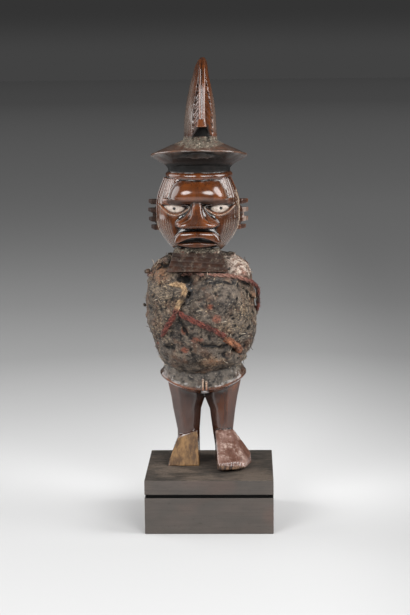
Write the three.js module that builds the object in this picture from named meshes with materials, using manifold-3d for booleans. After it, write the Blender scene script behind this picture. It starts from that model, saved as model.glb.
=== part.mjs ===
// A carved wooden power figure: a standing person in a brimmed hat with a tall crest, whose
// body is wrapped in a corded bundle of resin and earth, on a grooved block plinth.
// Millimetres. +Z is up, the figure faces -Y and +X is to the viewer's right. The origin is
// the middle of the plinth's underside.
import * as THREE from 'three';
import Module from 'manifold-3d';
import { ConvexGeometry } from 'three/addons/geometries/ConvexGeometry.js';
import { LoftGeometry } from 'three/addons/geometries/LoftGeometry.js';
import { mergeVertices } from 'three/addons/utils/BufferGeometryUtils.js';

const wasm = await Module();
wasm.setup();

const GAP = 0.35; // free space between two pieces that lie against each other

function solid(geometry) {
  const bare = new THREE.BufferGeometry();
  bare.setAttribute('position', geometry.attributes.position);
  bare.setIndex(geometry.index);
  const welded = mergeVertices(bare, 1e-4);
  return new wasm.Manifold(new wasm.Mesh({
    numProp: 3,
    vertProperties: new Float32Array(welded.attributes.position.array),
    triVerts: new Uint32Array(welded.index.array),
  }));
}

function node(name, body, color, roughness) {
  const { vertProperties, triVerts } = body.getMesh();
  const geometry = new THREE.BufferGeometry();
  geometry.setAttribute('position', new THREE.BufferAttribute(vertProperties, 3));
  geometry.setIndex(new THREE.BufferAttribute(triVerts, 1));
  geometry.computeVertexNormals();
  const material = new THREE.MeshStandardMaterial({ color, roughness, metalness: 0 });
  const mesh = new THREE.Mesh(geometry, material);
  mesh.name = name;
  return mesh;
}

function joined(bodies) {
  return bodies.reduce((whole, body) => whole.add(body));
}

// A power of a cosine or sine that keeps its sign: 2 gives an ellipse, more squares it up.
function squared(value, power) {
  return Math.sign(value) * Math.abs(value) ** (2 / power);
}

// A level ring at height z, seen from above: rounded from side to side and front to back
function ring(z, left, right, front, back, { power = 2.3, middle = (front + back) / 2, sides = 28 } = {}) {
  const points = [];
  for (let i = 0; i < sides; i++) {
    const turn = 2 * Math.PI * i / sides;
    const reach = Math.sin(turn) < 0 ? middle - front : back - middle;
    points.push(new THREE.Vector3(
      (left + right) / 2 + (right - left) / 2 * squared(Math.cos(turn), power),
      middle + reach * squared(Math.sin(turn), power),
      z,
    ));
  }
  return points;
}

// A level eight-sided section with flat faces, as an adze leaves a limb
function facets(z, left, right, front, back, cut) {
  const corners = [
    [right, front + cut], [right, back - cut], [right - cut, back], [left + cut, back],
    [left, back - cut], [left, front + cut], [left + cut, front], [right - cut, front],
  ];
  return corners.map(([x, y]) => new THREE.Vector3(x, y, z));
}

function loft(sections) {
  return solid(new LoftGeometry(sections, { closed: true, capStart: true, capEnd: true }));
}

// A flat outline in X and Z, made thick along Y from back to front
function slab(outline, front, back) {
  const geometry = new THREE.ExtrudeGeometry(outline, {
    depth: back - front, bevelEnabled: false, curveSegments: 8,
  });
  geometry.rotateX(Math.PI / 2);
  geometry.translate(0, back, 0);
  return solid(geometry);
}

// A profile of [radius, height] pairs turned about an upright axis
function turned(profile, segments) {
  const geometry = new THREE.LatheGeometry(profile.map(([r, h]) => new THREE.Vector2(r, h)), segments);
  geometry.rotateX(Math.PI / 2);
  return solid(geometry);
}

function block(left, right, front, back, bottom, top) {
  const geometry = new THREE.BoxGeometry(right - left, back - front, top - bottom);
  geometry.translate((left + right) / 2, (front + back) / 2, (bottom + top) / 2);
  return solid(geometry);
}

// Plinth: one block with a shadow groove sawn round it
const PLINTH = { width: 93, depth: 85, height: 40, grooveBottom: 26.9, grooveTop: 29.2, grooveDepth: 3 };

function plinth() {
  const [x, y] = [PLINTH.width / 2, PLINTH.depth / 2];
  const groove = block(-x - 1, x + 1, -y - 1, y + 1, PLINTH.grooveBottom, PLINTH.grooveTop);
  const core = block(
    PLINTH.grooveDepth - x, x - PLINTH.grooveDepth, PLINTH.grooveDepth - y, y - PLINTH.grooveDepth,
    0, PLINTH.height,
  );
  return block(-x, x, -y, y, 0, PLINTH.height).subtract(groove).add(core);
}

// Legs and feet, which stand on the plinth's top
const GROUND = PLINTH.height;

// Each leg's sides, front and back at falling heights, with the corner cut of its facets
const LEFT_LEG = [
  [112, -31.5, -2, 8.6, 29, 8], [102, -32.2, -2.5, 8.4, 29, 8], [88.4, -29.3, -3.9, 7.8, 28, 7],
  [80, -28, -6.8, 7.4, 27.5, 6], [64, -24.6, -8.1, 6.6, 27, 5], [52, -25, -8.1, 7, 29, 5],
  [GROUND, -25.5, -8, 7, 31, 5],
];
const RIGHT_LEG = [
  [112, -5, 22.5, 7.8, 29, 8], [102, -5, 23.3, 7.6, 29, 8], [88.4, -3.9, 20.4, 6.8, 28, 7],
  [80, -0.4, 19, 6.2, 27.5, 6], [64, 1.9, 17, 5.2, 27, 5], [52, 3.4, 17.5, 5.6, 29, 5],
  [GROUND, 3.8, 18, 5.6, 31, 5],
];

function leg(rows) {
  return loft(rows.map((row) => facets(...row)).reverse());
}

// The left foot is a steep wedge from the ankle crease down to a straight toe edge
const LEFT_FOOT = [
  [-23.4, 7.5, 61.2], [-9.8, 7, 65.6], [-24, 26, 60], [-9.6, 26, 60],
  [-31.6, -3.2, GROUND], [-8, -4.2, GROUND], [-31.2, -2, 43], [-8.1, -3.2, 43],
  [-26.5, 29, GROUND], [-21, 32.5, GROUND], [-12, 32.5, GROUND], [-7.8, 28, GROUND],
];

// The right foot is longer, splays to the right and lifts its blunt toe off the plinth
const RIGHT_FOOT = [
  [3.4, 5.5, 65.5], [17.2, 5.5, 66.4], [3.4, 25, 58], [17, 25, 58],
  [6.3, -25.6, 41.8], [24.6, -22, 42.3], [6.3, -24, 46.6], [25.6, -19, 45],
  [31, -4, 42.4], [30.4, -1, 49.6], [5.2, -12, GROUND], [20, -8, GROUND],
  [4.2, 27, GROUND], [8, 32.5, GROUND], [15, 32, GROUND], [18.6, 27, GROUND],
];

function foot(corners) {
  return solid(new ConvexGeometry(corners.map(([x, y, z]) => new THREE.Vector3(x, y, z))));
}

// Trunk: hips that stand out over the legs, then body and neck in one.
// [height, left, right, front, back] going up
const TRUNK = [
  [94.5, -24, 14, 0, 26], [97.4, -31.5, 21.5, -6, 31], [99.6, -36.9, 27.2, -12.6, 35],
  [100.8, -36.9, 27.2, -13, 35], [105, -34.6, 25, -12.8, 33.6], [112, -33.2, 23.2, -13.6, 32.4],
  [118.5, -33, 22.2, -16.4, 31], [123, -30, 19, -15, 30], [128, -24, 13, -6, 28],
  [186, -22, 9, -3, 28], [206, -20, 6, 0, 26],
];
// The lip under the hips rises from the middle to the sides, and less so the parts above it
const HIP_LIP = { rise: 8.8, middle: -4.8, half: 32, fadeFrom: 112, level: 126 };

function raised(point) {
  const across = Math.min(Math.abs(point.x - HIP_LIP.middle) / HIP_LIP.half, 1);
  const [rise, fade] = [HIP_LIP.rise * across ** 2, HIP_LIP.level - HIP_LIP.fadeFrom];
  const faded = (fade * point.z + HIP_LIP.level * rise) / (fade + rise);
  return point.setZ(Math.max(point.z, Math.min(point.z + rise, faded)));
}

function trunk(grow = 0) {
  return loft(TRUNK.map(([z, left, right, front, back]) => ring(
    z, left - grow, right + grow, front - grow, back + grow, { power: 2.5, sides: 20 },
  ).map(raised)));
}

// Two thin upright ribs side by side on the middle of the hips: [middle, bottom, top]
const RIBS = [[-4.4, 99.4, 107.8], [-1.9, 99.6, 106.4]];
const RIB_HALF = 0.8;

function rib([x, bottom, top]) {
  return loft([
    facets(bottom, x - 0.4, x + 0.4, -12.4, -6, 0.2),
    facets(bottom + 0.8, x - RIB_HALF, x + RIB_HALF, -15, -6, 0.4),
    facets(top - 0.8, x - RIB_HALF, x + RIB_HALF, -15, -6, 0.4),
    facets(top, x - 0.4, x + 0.4, -12.8, -6, 0.2),
  ]);
}

const FACE_X = -7.2; // middle of the face from side to side
const MASK_BACK = 2; // where the mask-like face ends against the skull
const FACE_POWER = 2.4;

// The face from chin to hat: [height, half width, front]
const FACE = [
  [198.5, 8, -5], [201, 14.6, -11], [204.5, 19.2, -16.5], [209.5, 23.5, -18.6],
  [213.5, 26.2, -19.2], [218, 28.5, -19], [223, 29.7, -18.4], [229, 29.9, -17.2],
  [235, 29.8, -16.2], [241, 28.9, -15.6], [248, 26.6, -14.6], [254.5, 24, -13],
];
// The forehead is a dome on it, whose foot overhangs the eyes as a chamfered brow
const FOREHEAD = [
  [236.9, 24, -20.6], [239.9, 24.6, -23.2], [240.6, 22, -23.4], [244, 20.9, -23.9],
  [247.4, 19.4, -22.8], [250.8, 17.4, -19.8], [253.4, 15.5, -15.4],
];
const SKULL = [
  [197, -19, 5, -4, 27], [204, -26, 12, -8, 33], [216, -32.5, 18, -10, 38],
  [230, -34, 19.5, -10, 39], [243, -33, 18.8, -10, 38], [252, -30.8, 17.2, -10, 34], [257, -29, 16, -10, 30],
];

function interpolate(rows, at, column) {
  const next = Math.max(1, rows.findIndex((row) => row[0] >= at));
  const [low, high] = [rows[next - 1], rows[next]];
  return THREE.MathUtils.mapLinear(at, low[0], high[0], low[column], high[column]);
}

// The Y of the face's surface in front of a point, for what is set into it
function faceY(x, z) {
  const across = Math.min(1, Math.abs(x - FACE_X) / interpolate(FACE, z, 1));
  return MASK_BACK - (MASK_BACK - interpolate(FACE, z, 2)) * (1 - across ** FACE_POWER) ** (1 / FACE_POWER);
}

function faceMask() {
  return loft(FACE.map(([z, half, front]) => ring(
    z, FACE_X - half, FACE_X + half, front, MASK_BACK + 1,
    { power: FACE_POWER, middle: MASK_BACK, sides: 32 },
  )));
}

function forehead() {
  return loft(FOREHEAD.map(([z, half, front]) => ring(
    z, FACE_X + 0.5 - half, FACE_X + 0.5 + half, front, 0, { middle: -5, sides: 20 },
  )));
}

function skull() {
  return loft(SKULL.map((row) => ring(...row)));
}

// A bell-shaped nose with a flat, sharp-edged ridge down it: [height, half width, front] going up
const NOSE_BASE = [
  [219.8, 9.5, -22], [221, 14, -26.6], [222.8, 15.6, -27.2], [224.4, 14.7, -26.2],
  [226, 12.6, -24.8], [228.2, 9.4, -23.6], [231, 7, -22.6], [235.4, 5.7, -20.6], [240, 5.2, -19.4],
];
const NOSE_RIDGE = [
  [220.4, 12.2, -27.6], [221.4, 14, -28.8], [222.9, 13.6, -28.9], [224.4, 10.2, -28.5],
  [226, 7.2, -27.9], [228.2, 5.2, -26.9], [231, 4.1, -25.6], [240, 3.5, -21.4],
];

function nose() {
  const base = NOSE_BASE.map(([z, half, front]) => (
    ring(z, FACE_X - half, FACE_X + half, front, -8, { power: 2.6, sides: 16 })
  ));
  const ridge = NOSE_RIDGE.map(([z, half, front]) => (
    facets(z, FACE_X - half, FACE_X + half, front, -12, 0.8)
  ));
  return loft(base).add(loft(ridge));
}

// Lips in one arched band, straight along the mouth's lower edge, with the opening sunk in
const LIPS = { half: 17, corner: 208.2, topHalf: 10.8, top: 217, sag: 204.4, front: -26.6, back: -10 };
const MOUTH = { half: 14.2, bottom: 209.2, arch: 217.8, depth: 5.5 };

function lips() {
  const band = new THREE.Shape();
  band.moveTo(FACE_X - LIPS.half, LIPS.corner);
  band.quadraticCurveTo(FACE_X, LIPS.sag, FACE_X + LIPS.half, LIPS.corner);
  band.quadraticCurveTo(FACE_X + LIPS.half - 1.4, LIPS.top - 0.6, FACE_X + LIPS.topHalf, LIPS.top);
  band.lineTo(FACE_X - LIPS.topHalf, LIPS.top);
  band.quadraticCurveTo(FACE_X - LIPS.half + 1.4, LIPS.top - 0.6, FACE_X - LIPS.half, LIPS.corner);
  const opening = new THREE.Shape();
  opening.moveTo(FACE_X - MOUTH.half, MOUTH.bottom);
  opening.lineTo(FACE_X + MOUTH.half, MOUTH.bottom);
  opening.quadraticCurveTo(FACE_X, MOUTH.arch, FACE_X - MOUTH.half, MOUTH.bottom);
  const muzzle = slab(band, LIPS.front, LIPS.back);
  return muzzle.subtract(slab(opening, LIPS.front - 1, LIPS.front + MOUTH.depth));
}

// The beard is a plank that leans out below the chin, grooved level by level
const BEARD = { top: 205, bottom: 189.4, grooves: 4, grooveDepth: 0.8, thick: 14 };

function beard(grow = 0) {
  const sections = [];
  const steps = 2 * BEARD.grooves;
  for (let i = 0; i <= steps; i++) {
    const up = i / steps;
    const sunk = grow === 0 && i % 2 === 1 ? BEARD.grooveDepth : 0;
    const front = THREE.MathUtils.lerp(-29.4, -18.8, up);
    const z = THREE.MathUtils.lerp(BEARD.bottom - grow, BEARD.top, up);
    const left = THREE.MathUtils.lerp(-28.7, -23.6, up);
    const right = THREE.MathUtils.lerp(14.8, 8, up);
    sections.push(facets(z, left - grow, right + grow, front + sunk - grow, front + BEARD.thick + grow, 1.2));
  }
  return loft(sections);
}

// An ear is a round pad on the head with a comb of blunt prongs along its edge
const EAR = { reach: 24.5, middle: 227, radius: 9.6, front: 3, back: 10 };
const PRONGS = [[236.2, 36.6], [230.2, 36.9], [223.6, 36.6], [218, 34.8]]; // [height, reach]
const PRONG_HALF = 2;

function ear(side) {
  const pad = solid(new THREE.CylinderGeometry(EAR.radius, EAR.radius, EAR.back - EAR.front, 12))
    .translate([FACE_X + side * EAR.reach, (EAR.front + EAR.back) / 2, EAR.middle]);
  const prongs = PRONGS.map(([z, reach]) => block(
    FACE_X + Math.min(side * 20, side * reach), FACE_X + Math.max(side * 20, side * reach),
    EAR.front, EAR.back, z - PRONG_HALF, z + PRONG_HALF,
  ));
  return joined([pad, ...prongs]);
}

// Eyes: a pale almond let into a pocket, with a raised lid round it
const EYE = {
  fromMiddle: 16.3, half: 9.4, corner: 235.2, up: 0.8, down: 5, // the almond
  deep: 1.6, proud: 0.3, lid: 1.6, // how far it goes in, stands out, and the lid's width
};

// The almond with its edge moved out by grow, on the face's surface moved along Y by offset
function almond(side, grow, offset) {
  const points = [];
  const count = 16;
  for (let i = 0; i < count; i++) {
    const turn = 2 * Math.PI * i / count;
    const rise = (Math.sin(turn) > 0 ? EYE.up : EYE.down) + grow;
    const across = (EYE.half + grow) * Math.cos(turn);
    const x = FACE_X + side * EYE.fromMiddle + across;
    const z = EYE.corner + rise * squared(Math.sin(turn), 1.4) + 0.06 * side * across;
    points.push(new THREE.Vector3(x, faceY(x, z) + offset, z));
  }
  return points;
}

function eyeInlay(side) {
  return loft([almond(side, 0, EYE.deep), almond(side, 0, -EYE.proud)]);
}

function eyePocket(side) {
  return loft([almond(side, GAP, EYE.deep + GAP), almond(side, GAP, -4)]);
}

function eyeLid(side) {
  return loft([almond(side, EYE.lid, EYE.deep), almond(side, EYE.lid * 0.6, -1.2)]);
}

// Hat: a rolled rim and a dark band, then a wide brim that tips up in front
const HAT = { x: -6.4, y: 8, tilt: -8.8 };
const BAND = [
  [0, 250], [23.2, 250], [23.6, 252.2], [24.3, 253.6], [24.2, 255], [23.2, 256.4], [22.9, 259],
  [23.4, 267.5], [0, 267.5],
];
const BRIM = [
  [0, -9], [23.4, -9], [24.8, -6.6], [34, -1.2], [35, -0.6], [35, 0.4], [33.4, 1.3],
  [21, 7], [13.5, 10], [0, 12],
];
const BRIM_HEIGHT = 269.8;

function hat() {
  const band = turned(BAND, 26).translate([HAT.x, HAT.y, 0]);
  const brim = turned(BRIM, 34).rotate([HAT.tilt, 0, 0])
    .translate([HAT.x + 0.3, HAT.y - 1, BRIM_HEIGHT]);
  return band.add(brim);
}

// The crest's sides, front and back at rising heights
const CREST = [
  [272, -19, 7.6, -18, 34], [281, -17.6, 7, -17.2, 33], [295.3, -16.8, 6.3, -16.5, 32],
  [309.6, -14.7, 5, -14.5, 30], [320, -12.4, 2.9, -11.8, 27], [327.5, -10.2, 1.4, -8.5, 23],
  [334, -8.2, 0.5, -4.5, 18.5], [338, -6, -0.4, 0.5, 14], [340, -4.4, -1.4, 4.5, 9.5],
];

// A mound of hardened fill lies round the crest's foot
const FOOT_FILL = [
  [271, -25.3, 13.7, -29, 37], [276.5, -22.3, 10.7, -24, 32.4], [280.8, -18.8, 7.2, -18, 27],
];

// A ring that is thin in front and full behind, like a seed cut level
function seed(z, left, right, front, back) {
  const middle = (left + right) / 2;
  return ring(z, left, right, front, back, { power: 2, sides: 24 }).map((point) => {
    const along = THREE.MathUtils.clamp((point.y - front) / (0.52 * (back - front)), 0, 1);
    const fullness = 0.42 + 0.58 * THREE.MathUtils.smoothstep(along, 0, 1);
    return point.setX(middle + (point.x - middle) * fullness);
  });
}

// A keel stands out along the crest's front edge and ends below in a flared lip over a niche
const KEEL = { x: -3, half: 2.4, proud: 2.4, bottom: 291.4, top: 338.6 };
const LIP = { x: -3.4, half: 4, neck: 3.4, top: 296.8, proud: 1.7 };
const NICHE = { x: -4.2, bottom: 281, top: 291.3, halfBottom: 5.6, halfTop: 2.5, back: -5 };

function keel() {
  const sections = [];
  for (const z of [KEEL.bottom, 295.3, 309.6, 320, 327.5, 334, KEEL.top]) {
    const front = interpolate(CREST, z, 3) - KEEL.proud;
    const half = KEEL.half * (z > 330 ? 0.8 : 1);
    sections.push(facets(z, KEEL.x - half, KEEL.x + half, front, front + 9, 0.8));
  }
  const front = interpolate(CREST, KEEL.bottom, 3) - KEEL.proud;
  const lip = loft([
    facets(KEEL.bottom, LIP.x - LIP.half, LIP.x + LIP.half, front - LIP.proud, front + 8, 1.2),
    facets(KEEL.bottom + 1.6, LIP.x - LIP.neck, LIP.x + LIP.neck, front - LIP.proud, front + 8, 1.2),
    facets(LIP.top, KEEL.x - KEEL.half, KEEL.x + KEEL.half, front, front + 8, 0.8),
  ]);
  return loft(sections).add(lip);
}

function niche() {
  const opening = new THREE.Shape();
  opening.moveTo(NICHE.x - NICHE.halfBottom, NICHE.bottom);
  opening.lineTo(NICHE.x + NICHE.halfBottom, NICHE.bottom);
  opening.lineTo(NICHE.x + NICHE.halfTop, NICHE.top);
  opening.lineTo(NICHE.x - NICHE.halfTop, NICHE.top);
  return slab(opening, -30, NICHE.back);
}

function crest() {
  const fill = loft(FOOT_FILL.map((row) => ring(...row, { power: 2, sides: 16 })));
  return loft(CREST.map((row) => seed(...row))).add(fill);
}

// The carving: everything above in one piece of wood
function carvedFigure() {
  const lower = [leg(LEFT_LEG), leg(RIGHT_LEG), foot(LEFT_FOOT), foot(RIGHT_FOOT), trunk(), ...RIBS.map(rib)];
  const head = [faceMask(), skull(), forehead(), nose(), lips(), beard(), ear(-1), ear(1)];
  const upper = [hat(), crest(), keel()];
  const whole = joined([...lower, ...head, eyeLid(-1), eyeLid(1), ...upper]);
  const cuts = [eyePocket(-1), eyePocket(1), niche()];
  return whole.subtract(joined(cuts));
}

// Medicine bundle: a lumpy mass moulded round the body.
// [height, left, right, front, back] going up
const BUNDLE = [
  [112, -27, 16, -13.4, 28], [116, -31.4, 20, -17.6, 30.4], [119, -34.2, 23.2, -21.6, 32],
  [121.5, -35.4, 25, -25.4, 33],
  [124, -35.8, 26, -28.6, 34], [130, -39, 30.5, -32, 35.6], [138, -41, 33, -34, 36.8],
  [146, -44.2, 34.2, -35, 37.6], [156, -45.6, 34.6, -35, 37.8], [168, -45.1, 34, -34, 37.4],
  [180, -43.6, 31.5, -31.5, 35.6], [188, -41, 29.8, -27, 33], [193, -37.5, 26.5, -20, 30],
  [197, -30, 19, -12, 25],
];
const BUNDLE_MIDDLE = 4;
const BUNDLE_POWER = 2.4;

// Lumps on the mass: [turn from the front in degrees, height, radius, how far it stands out]
const LUMPS = [
  [14, 168, 22, 2.6], [64, 191, 11, 3], [0, 123, 13, 2], [57, 131.5, 6, -4.5],
  [-48, 176, 14, 1.6], [-8, 184.5, 7, -3.2], [150, 160, 24, 2], [-140, 150, 20, 1.6],
];

function lumps(turn, z) {
  let height = 0.5 * Math.sin(5 * turn + z / 7) + 0.4 * Math.sin(8 * turn - z / 5);
  for (const [degrees, middle, radius, out] of LUMPS) {
    const gap = turn - THREE.MathUtils.degToRad(degrees);
    const around = 35 * Math.atan2(Math.sin(gap), Math.cos(gap));
    const away = Math.hypot(around, z - middle) / radius;
    height += out * (1 - THREE.MathUtils.smoothstep(away, 0.65, 1.15));
  }
  return height;
}

// A point on the mass: turn is measured from the front towards the viewer's right
function onBundle(turn, z, lift = 0) {
  const [left, right, front, back] = [1, 2, 3, 4].map((column) => interpolate(BUNDLE, z, column));
  const reach = Math.cos(turn) > 0 ? BUNDLE_MIDDLE - front : back - BUNDLE_MIDDLE;
  const point = new THREE.Vector3(
    (left + right) / 2 + (right - left) / 2 * squared(Math.sin(turn), BUNDLE_POWER),
    BUNDLE_MIDDLE - reach * squared(Math.cos(turn), BUNDLE_POWER),
    z,
  );
  const side = Math.abs(Math.sin(turn)) ** 6;
  const out = lift + lumps(turn, z) * (1 - 0.8 * side);
  return point.add(new THREE.Vector3(Math.sin(turn) * out, -Math.cos(turn) * out, 0));
}

function bundle(cords) {
  const sections = [];
  const [low, high] = [BUNDLE[0][0], BUNDLE[BUNDLE.length - 1][0]];
  const [rows, sides] = [16, 28];
  for (let row = 0; row <= rows; row++) {
    const z = THREE.MathUtils.lerp(low, high, row / rows);
    sections.push(Array.from({ length: sides }, (_, i) => onBundle(2 * Math.PI * i / sides, z)));
  }
  return loft(sections).subtract(joined([trunk(GAP), beard(GAP), ...cords]));
}

// Cords laid in the mass. The neck cord stands off it at the viewer's right.
const CORD = 1.9; // radius
const KNOT = 3.3;

// [turn in degrees, height, how far the cord stands off] along each cord
const NECK_CORD = [
  [172, 166], [140, 160], [112, 154], [96, 158, 2], [88, 169, 2.4], [76, 176.5, 2.4], [62, 181, 1],
  [43, 185.4], [25, 187], [9, 187], [-8, 187], [-30, 187], [-54, 186.4], [-78, 184.6], [-104, 181],
  [-130, 177], [-158, 172], [-178, 168],
];
const LEFT_CORD = [
  [-20, 180.6], [-12.8, 179], [-11.2, 174.6], [-13.2, 170.6], [-16.7, 167.4], [-19.7, 162.2],
  [-23.7, 157.2], [-33, 150], [-41, 144.6], [-56, 137.5], [-80, 131], [-110, 129],
  [-150, 130], [-200, 131], [-250, 130], [-282, 127.5],
];
const RIGHT_CORD = [[-13.4, 159.6], [-7.5, 156.8], [-1.2, 153.2], [7.8, 148.6], [16.4, 143.8]];
const CORD_KNOT = [[27, 139.9], [34, 137], [42, 133.9], [52, 130.4]];

function cord(rows, radius, steps, grow = 0) {
  const curve = new THREE.CatmullRomCurve3(rows.map(([degrees, z, off = 0]) => (
    onBundle(THREE.MathUtils.degToRad(degrees), z, radius * 0.35 + off)
  )));
  const round = new THREE.Shape().absarc(0, 0, radius + grow, 0, 2 * Math.PI);
  return solid(new THREE.ExtrudeGeometry(round, { steps, extrudePath: curve, curveSegments: 3 }));
}

// The whole object
const cordSizes = {
  neck_cord: [NECK_CORD, CORD, 40],
  left_cord: [LEFT_CORD, CORD, 34],
  right_cord: [RIGHT_CORD, CORD, 9],
  cord_knot: [CORD_KNOT, KNOT, 6],
};
const cordColors = { neck_cord: 0x94503f, left_cord: 0xa8764f, right_cord: 0x8f4a3e, cord_knot: 0xb87046 };
const grooves = Object.values(cordSizes).map(([rows, radius, steps]) => cord(rows, radius, steps, GAP));

const figure = new THREE.Group();
figure.name = 'teke_power_figure';
figure.add(
  node('plinth', plinth(), 0x4a4440, 0.7),
  node('carved_figure', carvedFigure(), 0x5a2f1c, 0.3),
  node('medicine_bundle', bundle(grooves), 0x4b463f, 0.95),
);
for (const [name, size] of Object.entries(cordSizes)) {
  figure.add(node(name, cord(...size), cordColors[name], 0.9));
}
figure.add(
  node('eye_inlay_left', eyeInlay(-1), 0xd8d4c8, 0.35),
  node('eye_inlay_right', eyeInlay(1), 0xd8d4c8, 0.35),
);

export default figure;
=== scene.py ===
import math

import bmesh
import bpy
import numpy as np
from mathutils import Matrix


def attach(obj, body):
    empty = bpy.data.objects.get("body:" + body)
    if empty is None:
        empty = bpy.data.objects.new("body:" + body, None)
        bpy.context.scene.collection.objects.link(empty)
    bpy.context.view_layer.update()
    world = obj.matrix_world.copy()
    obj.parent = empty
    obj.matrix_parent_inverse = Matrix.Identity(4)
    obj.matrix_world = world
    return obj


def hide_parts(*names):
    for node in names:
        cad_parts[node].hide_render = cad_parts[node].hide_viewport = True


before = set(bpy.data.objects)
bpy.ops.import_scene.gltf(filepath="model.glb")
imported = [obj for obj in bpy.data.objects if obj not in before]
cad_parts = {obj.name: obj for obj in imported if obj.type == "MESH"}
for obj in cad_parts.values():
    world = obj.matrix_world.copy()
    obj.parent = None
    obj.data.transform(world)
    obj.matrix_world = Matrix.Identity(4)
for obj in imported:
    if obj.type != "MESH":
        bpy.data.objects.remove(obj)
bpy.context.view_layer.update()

import openvdb
from mathutils import Matrix, Vector

# The plinth is one block of dark stained hardwood with a shadow groove sawn round it. Its
# edges are eased with sandpaper, and its top has rubbed through to brown in patches.
MM = 0.001
PLINTH_WIDTH = 93.0
PLINTH_DEPTH = 85.0
PLINTH_HEIGHT = 40.0
GROOVE_LOW, GROOVE_HIGH, GROOVE_DEPTH = 26.9, 29.2, 3.0
EASED_EDGE = 0.45
PLINTH_SAW_STEPS = 40
EDGE_WEAR = 0.16


def paint(red, green, blue):
    """A colour as it is seen, 0 to 255, turned into the linear values that a shader takes."""
    linear = [((c / 255 + 0.055) / 1.055) ** 2.4 if c > 10 else c / 255 / 12.92 for c in (red, green, blue)]
    return (*linear, 1.0)


def start_finish(name, **settings):
    """A new material, its node tree and its shader with the settings that are even all over."""
    material = bpy.data.materials.new(name)
    material.use_nodes = True
    shader = material.node_tree.nodes["Principled BSDF"]
    for socket, value in settings.items():
        shader.inputs[socket.replace("_", " ")].default_value = value
    return material, material.node_tree, shader


def node(tree, kind, inputs, **settings):
    """A node with its settings, and its inputs linked where they are sockets."""
    made = tree.nodes.new(kind)
    for key, value in settings.items():
        setattr(made, key, value)
    for key, value in inputs.items():
        if isinstance(value, bpy.types.NodeSocket):
            tree.links.new(value, made.inputs[key])
        else:
            made.inputs[key].default_value = value
    return made


def made_by(tree, kind, inputs, **settings):
    """The first output of a new node."""
    return node(tree, kind, inputs, **settings).outputs[0]


def mottle(tree, scale, stretch=(1, 1, 1), detail=5.0, roughness=0.6, distortion=0.0, place=(0, 0, 0)):
    """Noise through the wood or crust: scale is in blotches per metre."""
    where = node(tree, "ShaderNodeTexCoord", {}).outputs["Object"]
    stretched = node(tree, "ShaderNodeMapping", {"Vector": where, "Scale": stretch, "Location": place})
    inputs = {"Vector": stretched.outputs[0], "Scale": scale, "Detail": detail,
              "Roughness": roughness, "Distortion": distortion}
    return node(tree, "ShaderNodeTexNoise", inputs).outputs["Fac"]


def between(tree, value, low, high, bottom=0.0, top=1.0):
    """The value spread so that low gives bottom and high gives top, and held there outside."""
    inputs = {"Value": value, "From Min": low, "From Max": high, "To Min": bottom, "To Max": top}
    return made_by(tree, "ShaderNodeMapRange", inputs, interpolation_type="SMOOTHSTEP")


def blend(tree, amount, first, second, how="MIX"):
    """Two colours blended by an amount."""
    made = tree.nodes.new("ShaderNodeMix")
    made.data_type, made.blend_type = "RGBA", how
    for index, value in ((0, amount), (6, first), (7, second)):
        if isinstance(value, bpy.types.NodeSocket):
            tree.links.new(value, made.inputs[index])
        else:
            made.inputs[index].default_value = value
    return made.outputs[2]


def layered(tree, colour, layers):
    """The colour with others laid over it in order, each as (how much of it, the colour itself)."""
    for amount, top in layers:
        colour = blend(tree, amount, colour, top if isinstance(top, bpy.types.NodeSocket) else paint(*top))
    return colour


def times(tree, first, second, how="MULTIPLY"):
    return made_by(tree, "ShaderNodeMath", {0: first, 1: second}, operation=how, use_clamp=True)


def relief(tree, shader, heights):
    """Fine relief from (height, strength, depth in metres) layers, one over the other."""
    normal = None
    for height, strength, depth in heights:
        inputs = {"Height": height, "Strength": strength, "Distance": depth}
        if normal:
            inputs["Normal"] = normal
        normal = made_by(tree, "ShaderNodeBump", inputs)
    tree.links.new(normal, shader.inputs["Normal"])


def piece_from(name, points, faces, material, nodes, smooth=True):
    """A finished piece: its mesh in place, its material, its body and the nodes it stands for."""
    mesh = bpy.data.meshes.new(name)
    mesh.from_pydata([tuple(p) for p in points], [], [tuple(f) for f in faces])
    mesh.update()
    piece = bpy.data.objects.new(name, mesh)
    bpy.context.scene.collection.objects.link(piece)
    finish_piece(piece, material, nodes, smooth)
    return piece


def finish_piece(piece, material, nodes, smooth=True):
    piece.data.polygons.foreach_set("use_smooth", [smooth] * len(piece.data.polygons))
    piece.data.materials.clear()
    piece.data.materials.append(material)
    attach(piece, "root")
    if nodes:
        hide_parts(*nodes)


def rounded_rectangle(half_x, half_y, inset, steps):
    """Points round a level rectangle, counterclockwise from its front left corner."""
    x, y = half_x - inset, half_y - inset
    corners = [(-x, -y), (x, -y), (x, y), (-x, y)]
    points = []
    for corner, following in zip(corners, corners[1:] + corners[:1]):
        for i in range(steps):
            share = i / steps
            points.append([a + (b - a) * share for a, b in zip(corner, following)])
    return points


levels = [
    (0, EASED_EDGE), (EASED_EDGE, 0), (GROOVE_LOW - EASED_EDGE, 0), (GROOVE_LOW, EASED_EDGE),
    (GROOVE_LOW, GROOVE_DEPTH), (GROOVE_HIGH, GROOVE_DEPTH), (GROOVE_HIGH, EASED_EDGE),
    (GROOVE_HIGH + EASED_EDGE, 0), (PLINTH_HEIGHT - EASED_EDGE, 0), (PLINTH_HEIGHT, EASED_EDGE),
]
points, faces = [], []
ring_size = 4 * PLINTH_SAW_STEPS
for height, inset in levels:
    for x, y in rounded_rectangle(PLINTH_WIDTH / 2, PLINTH_DEPTH / 2, inset, PLINTH_SAW_STEPS):
        edge = abs(inset - EASED_EDGE) < 0.01 and height > 1
        worn = EDGE_WEAR * math.sin(0.9 * x + height) * math.sin(0.7 * y + 2 * height) * edge
        sunk = abs(worn) if height == PLINTH_HEIGHT else 0
        points.append(((x - worn) * MM, (y - worn) * MM, (height - sunk) * MM))
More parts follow.
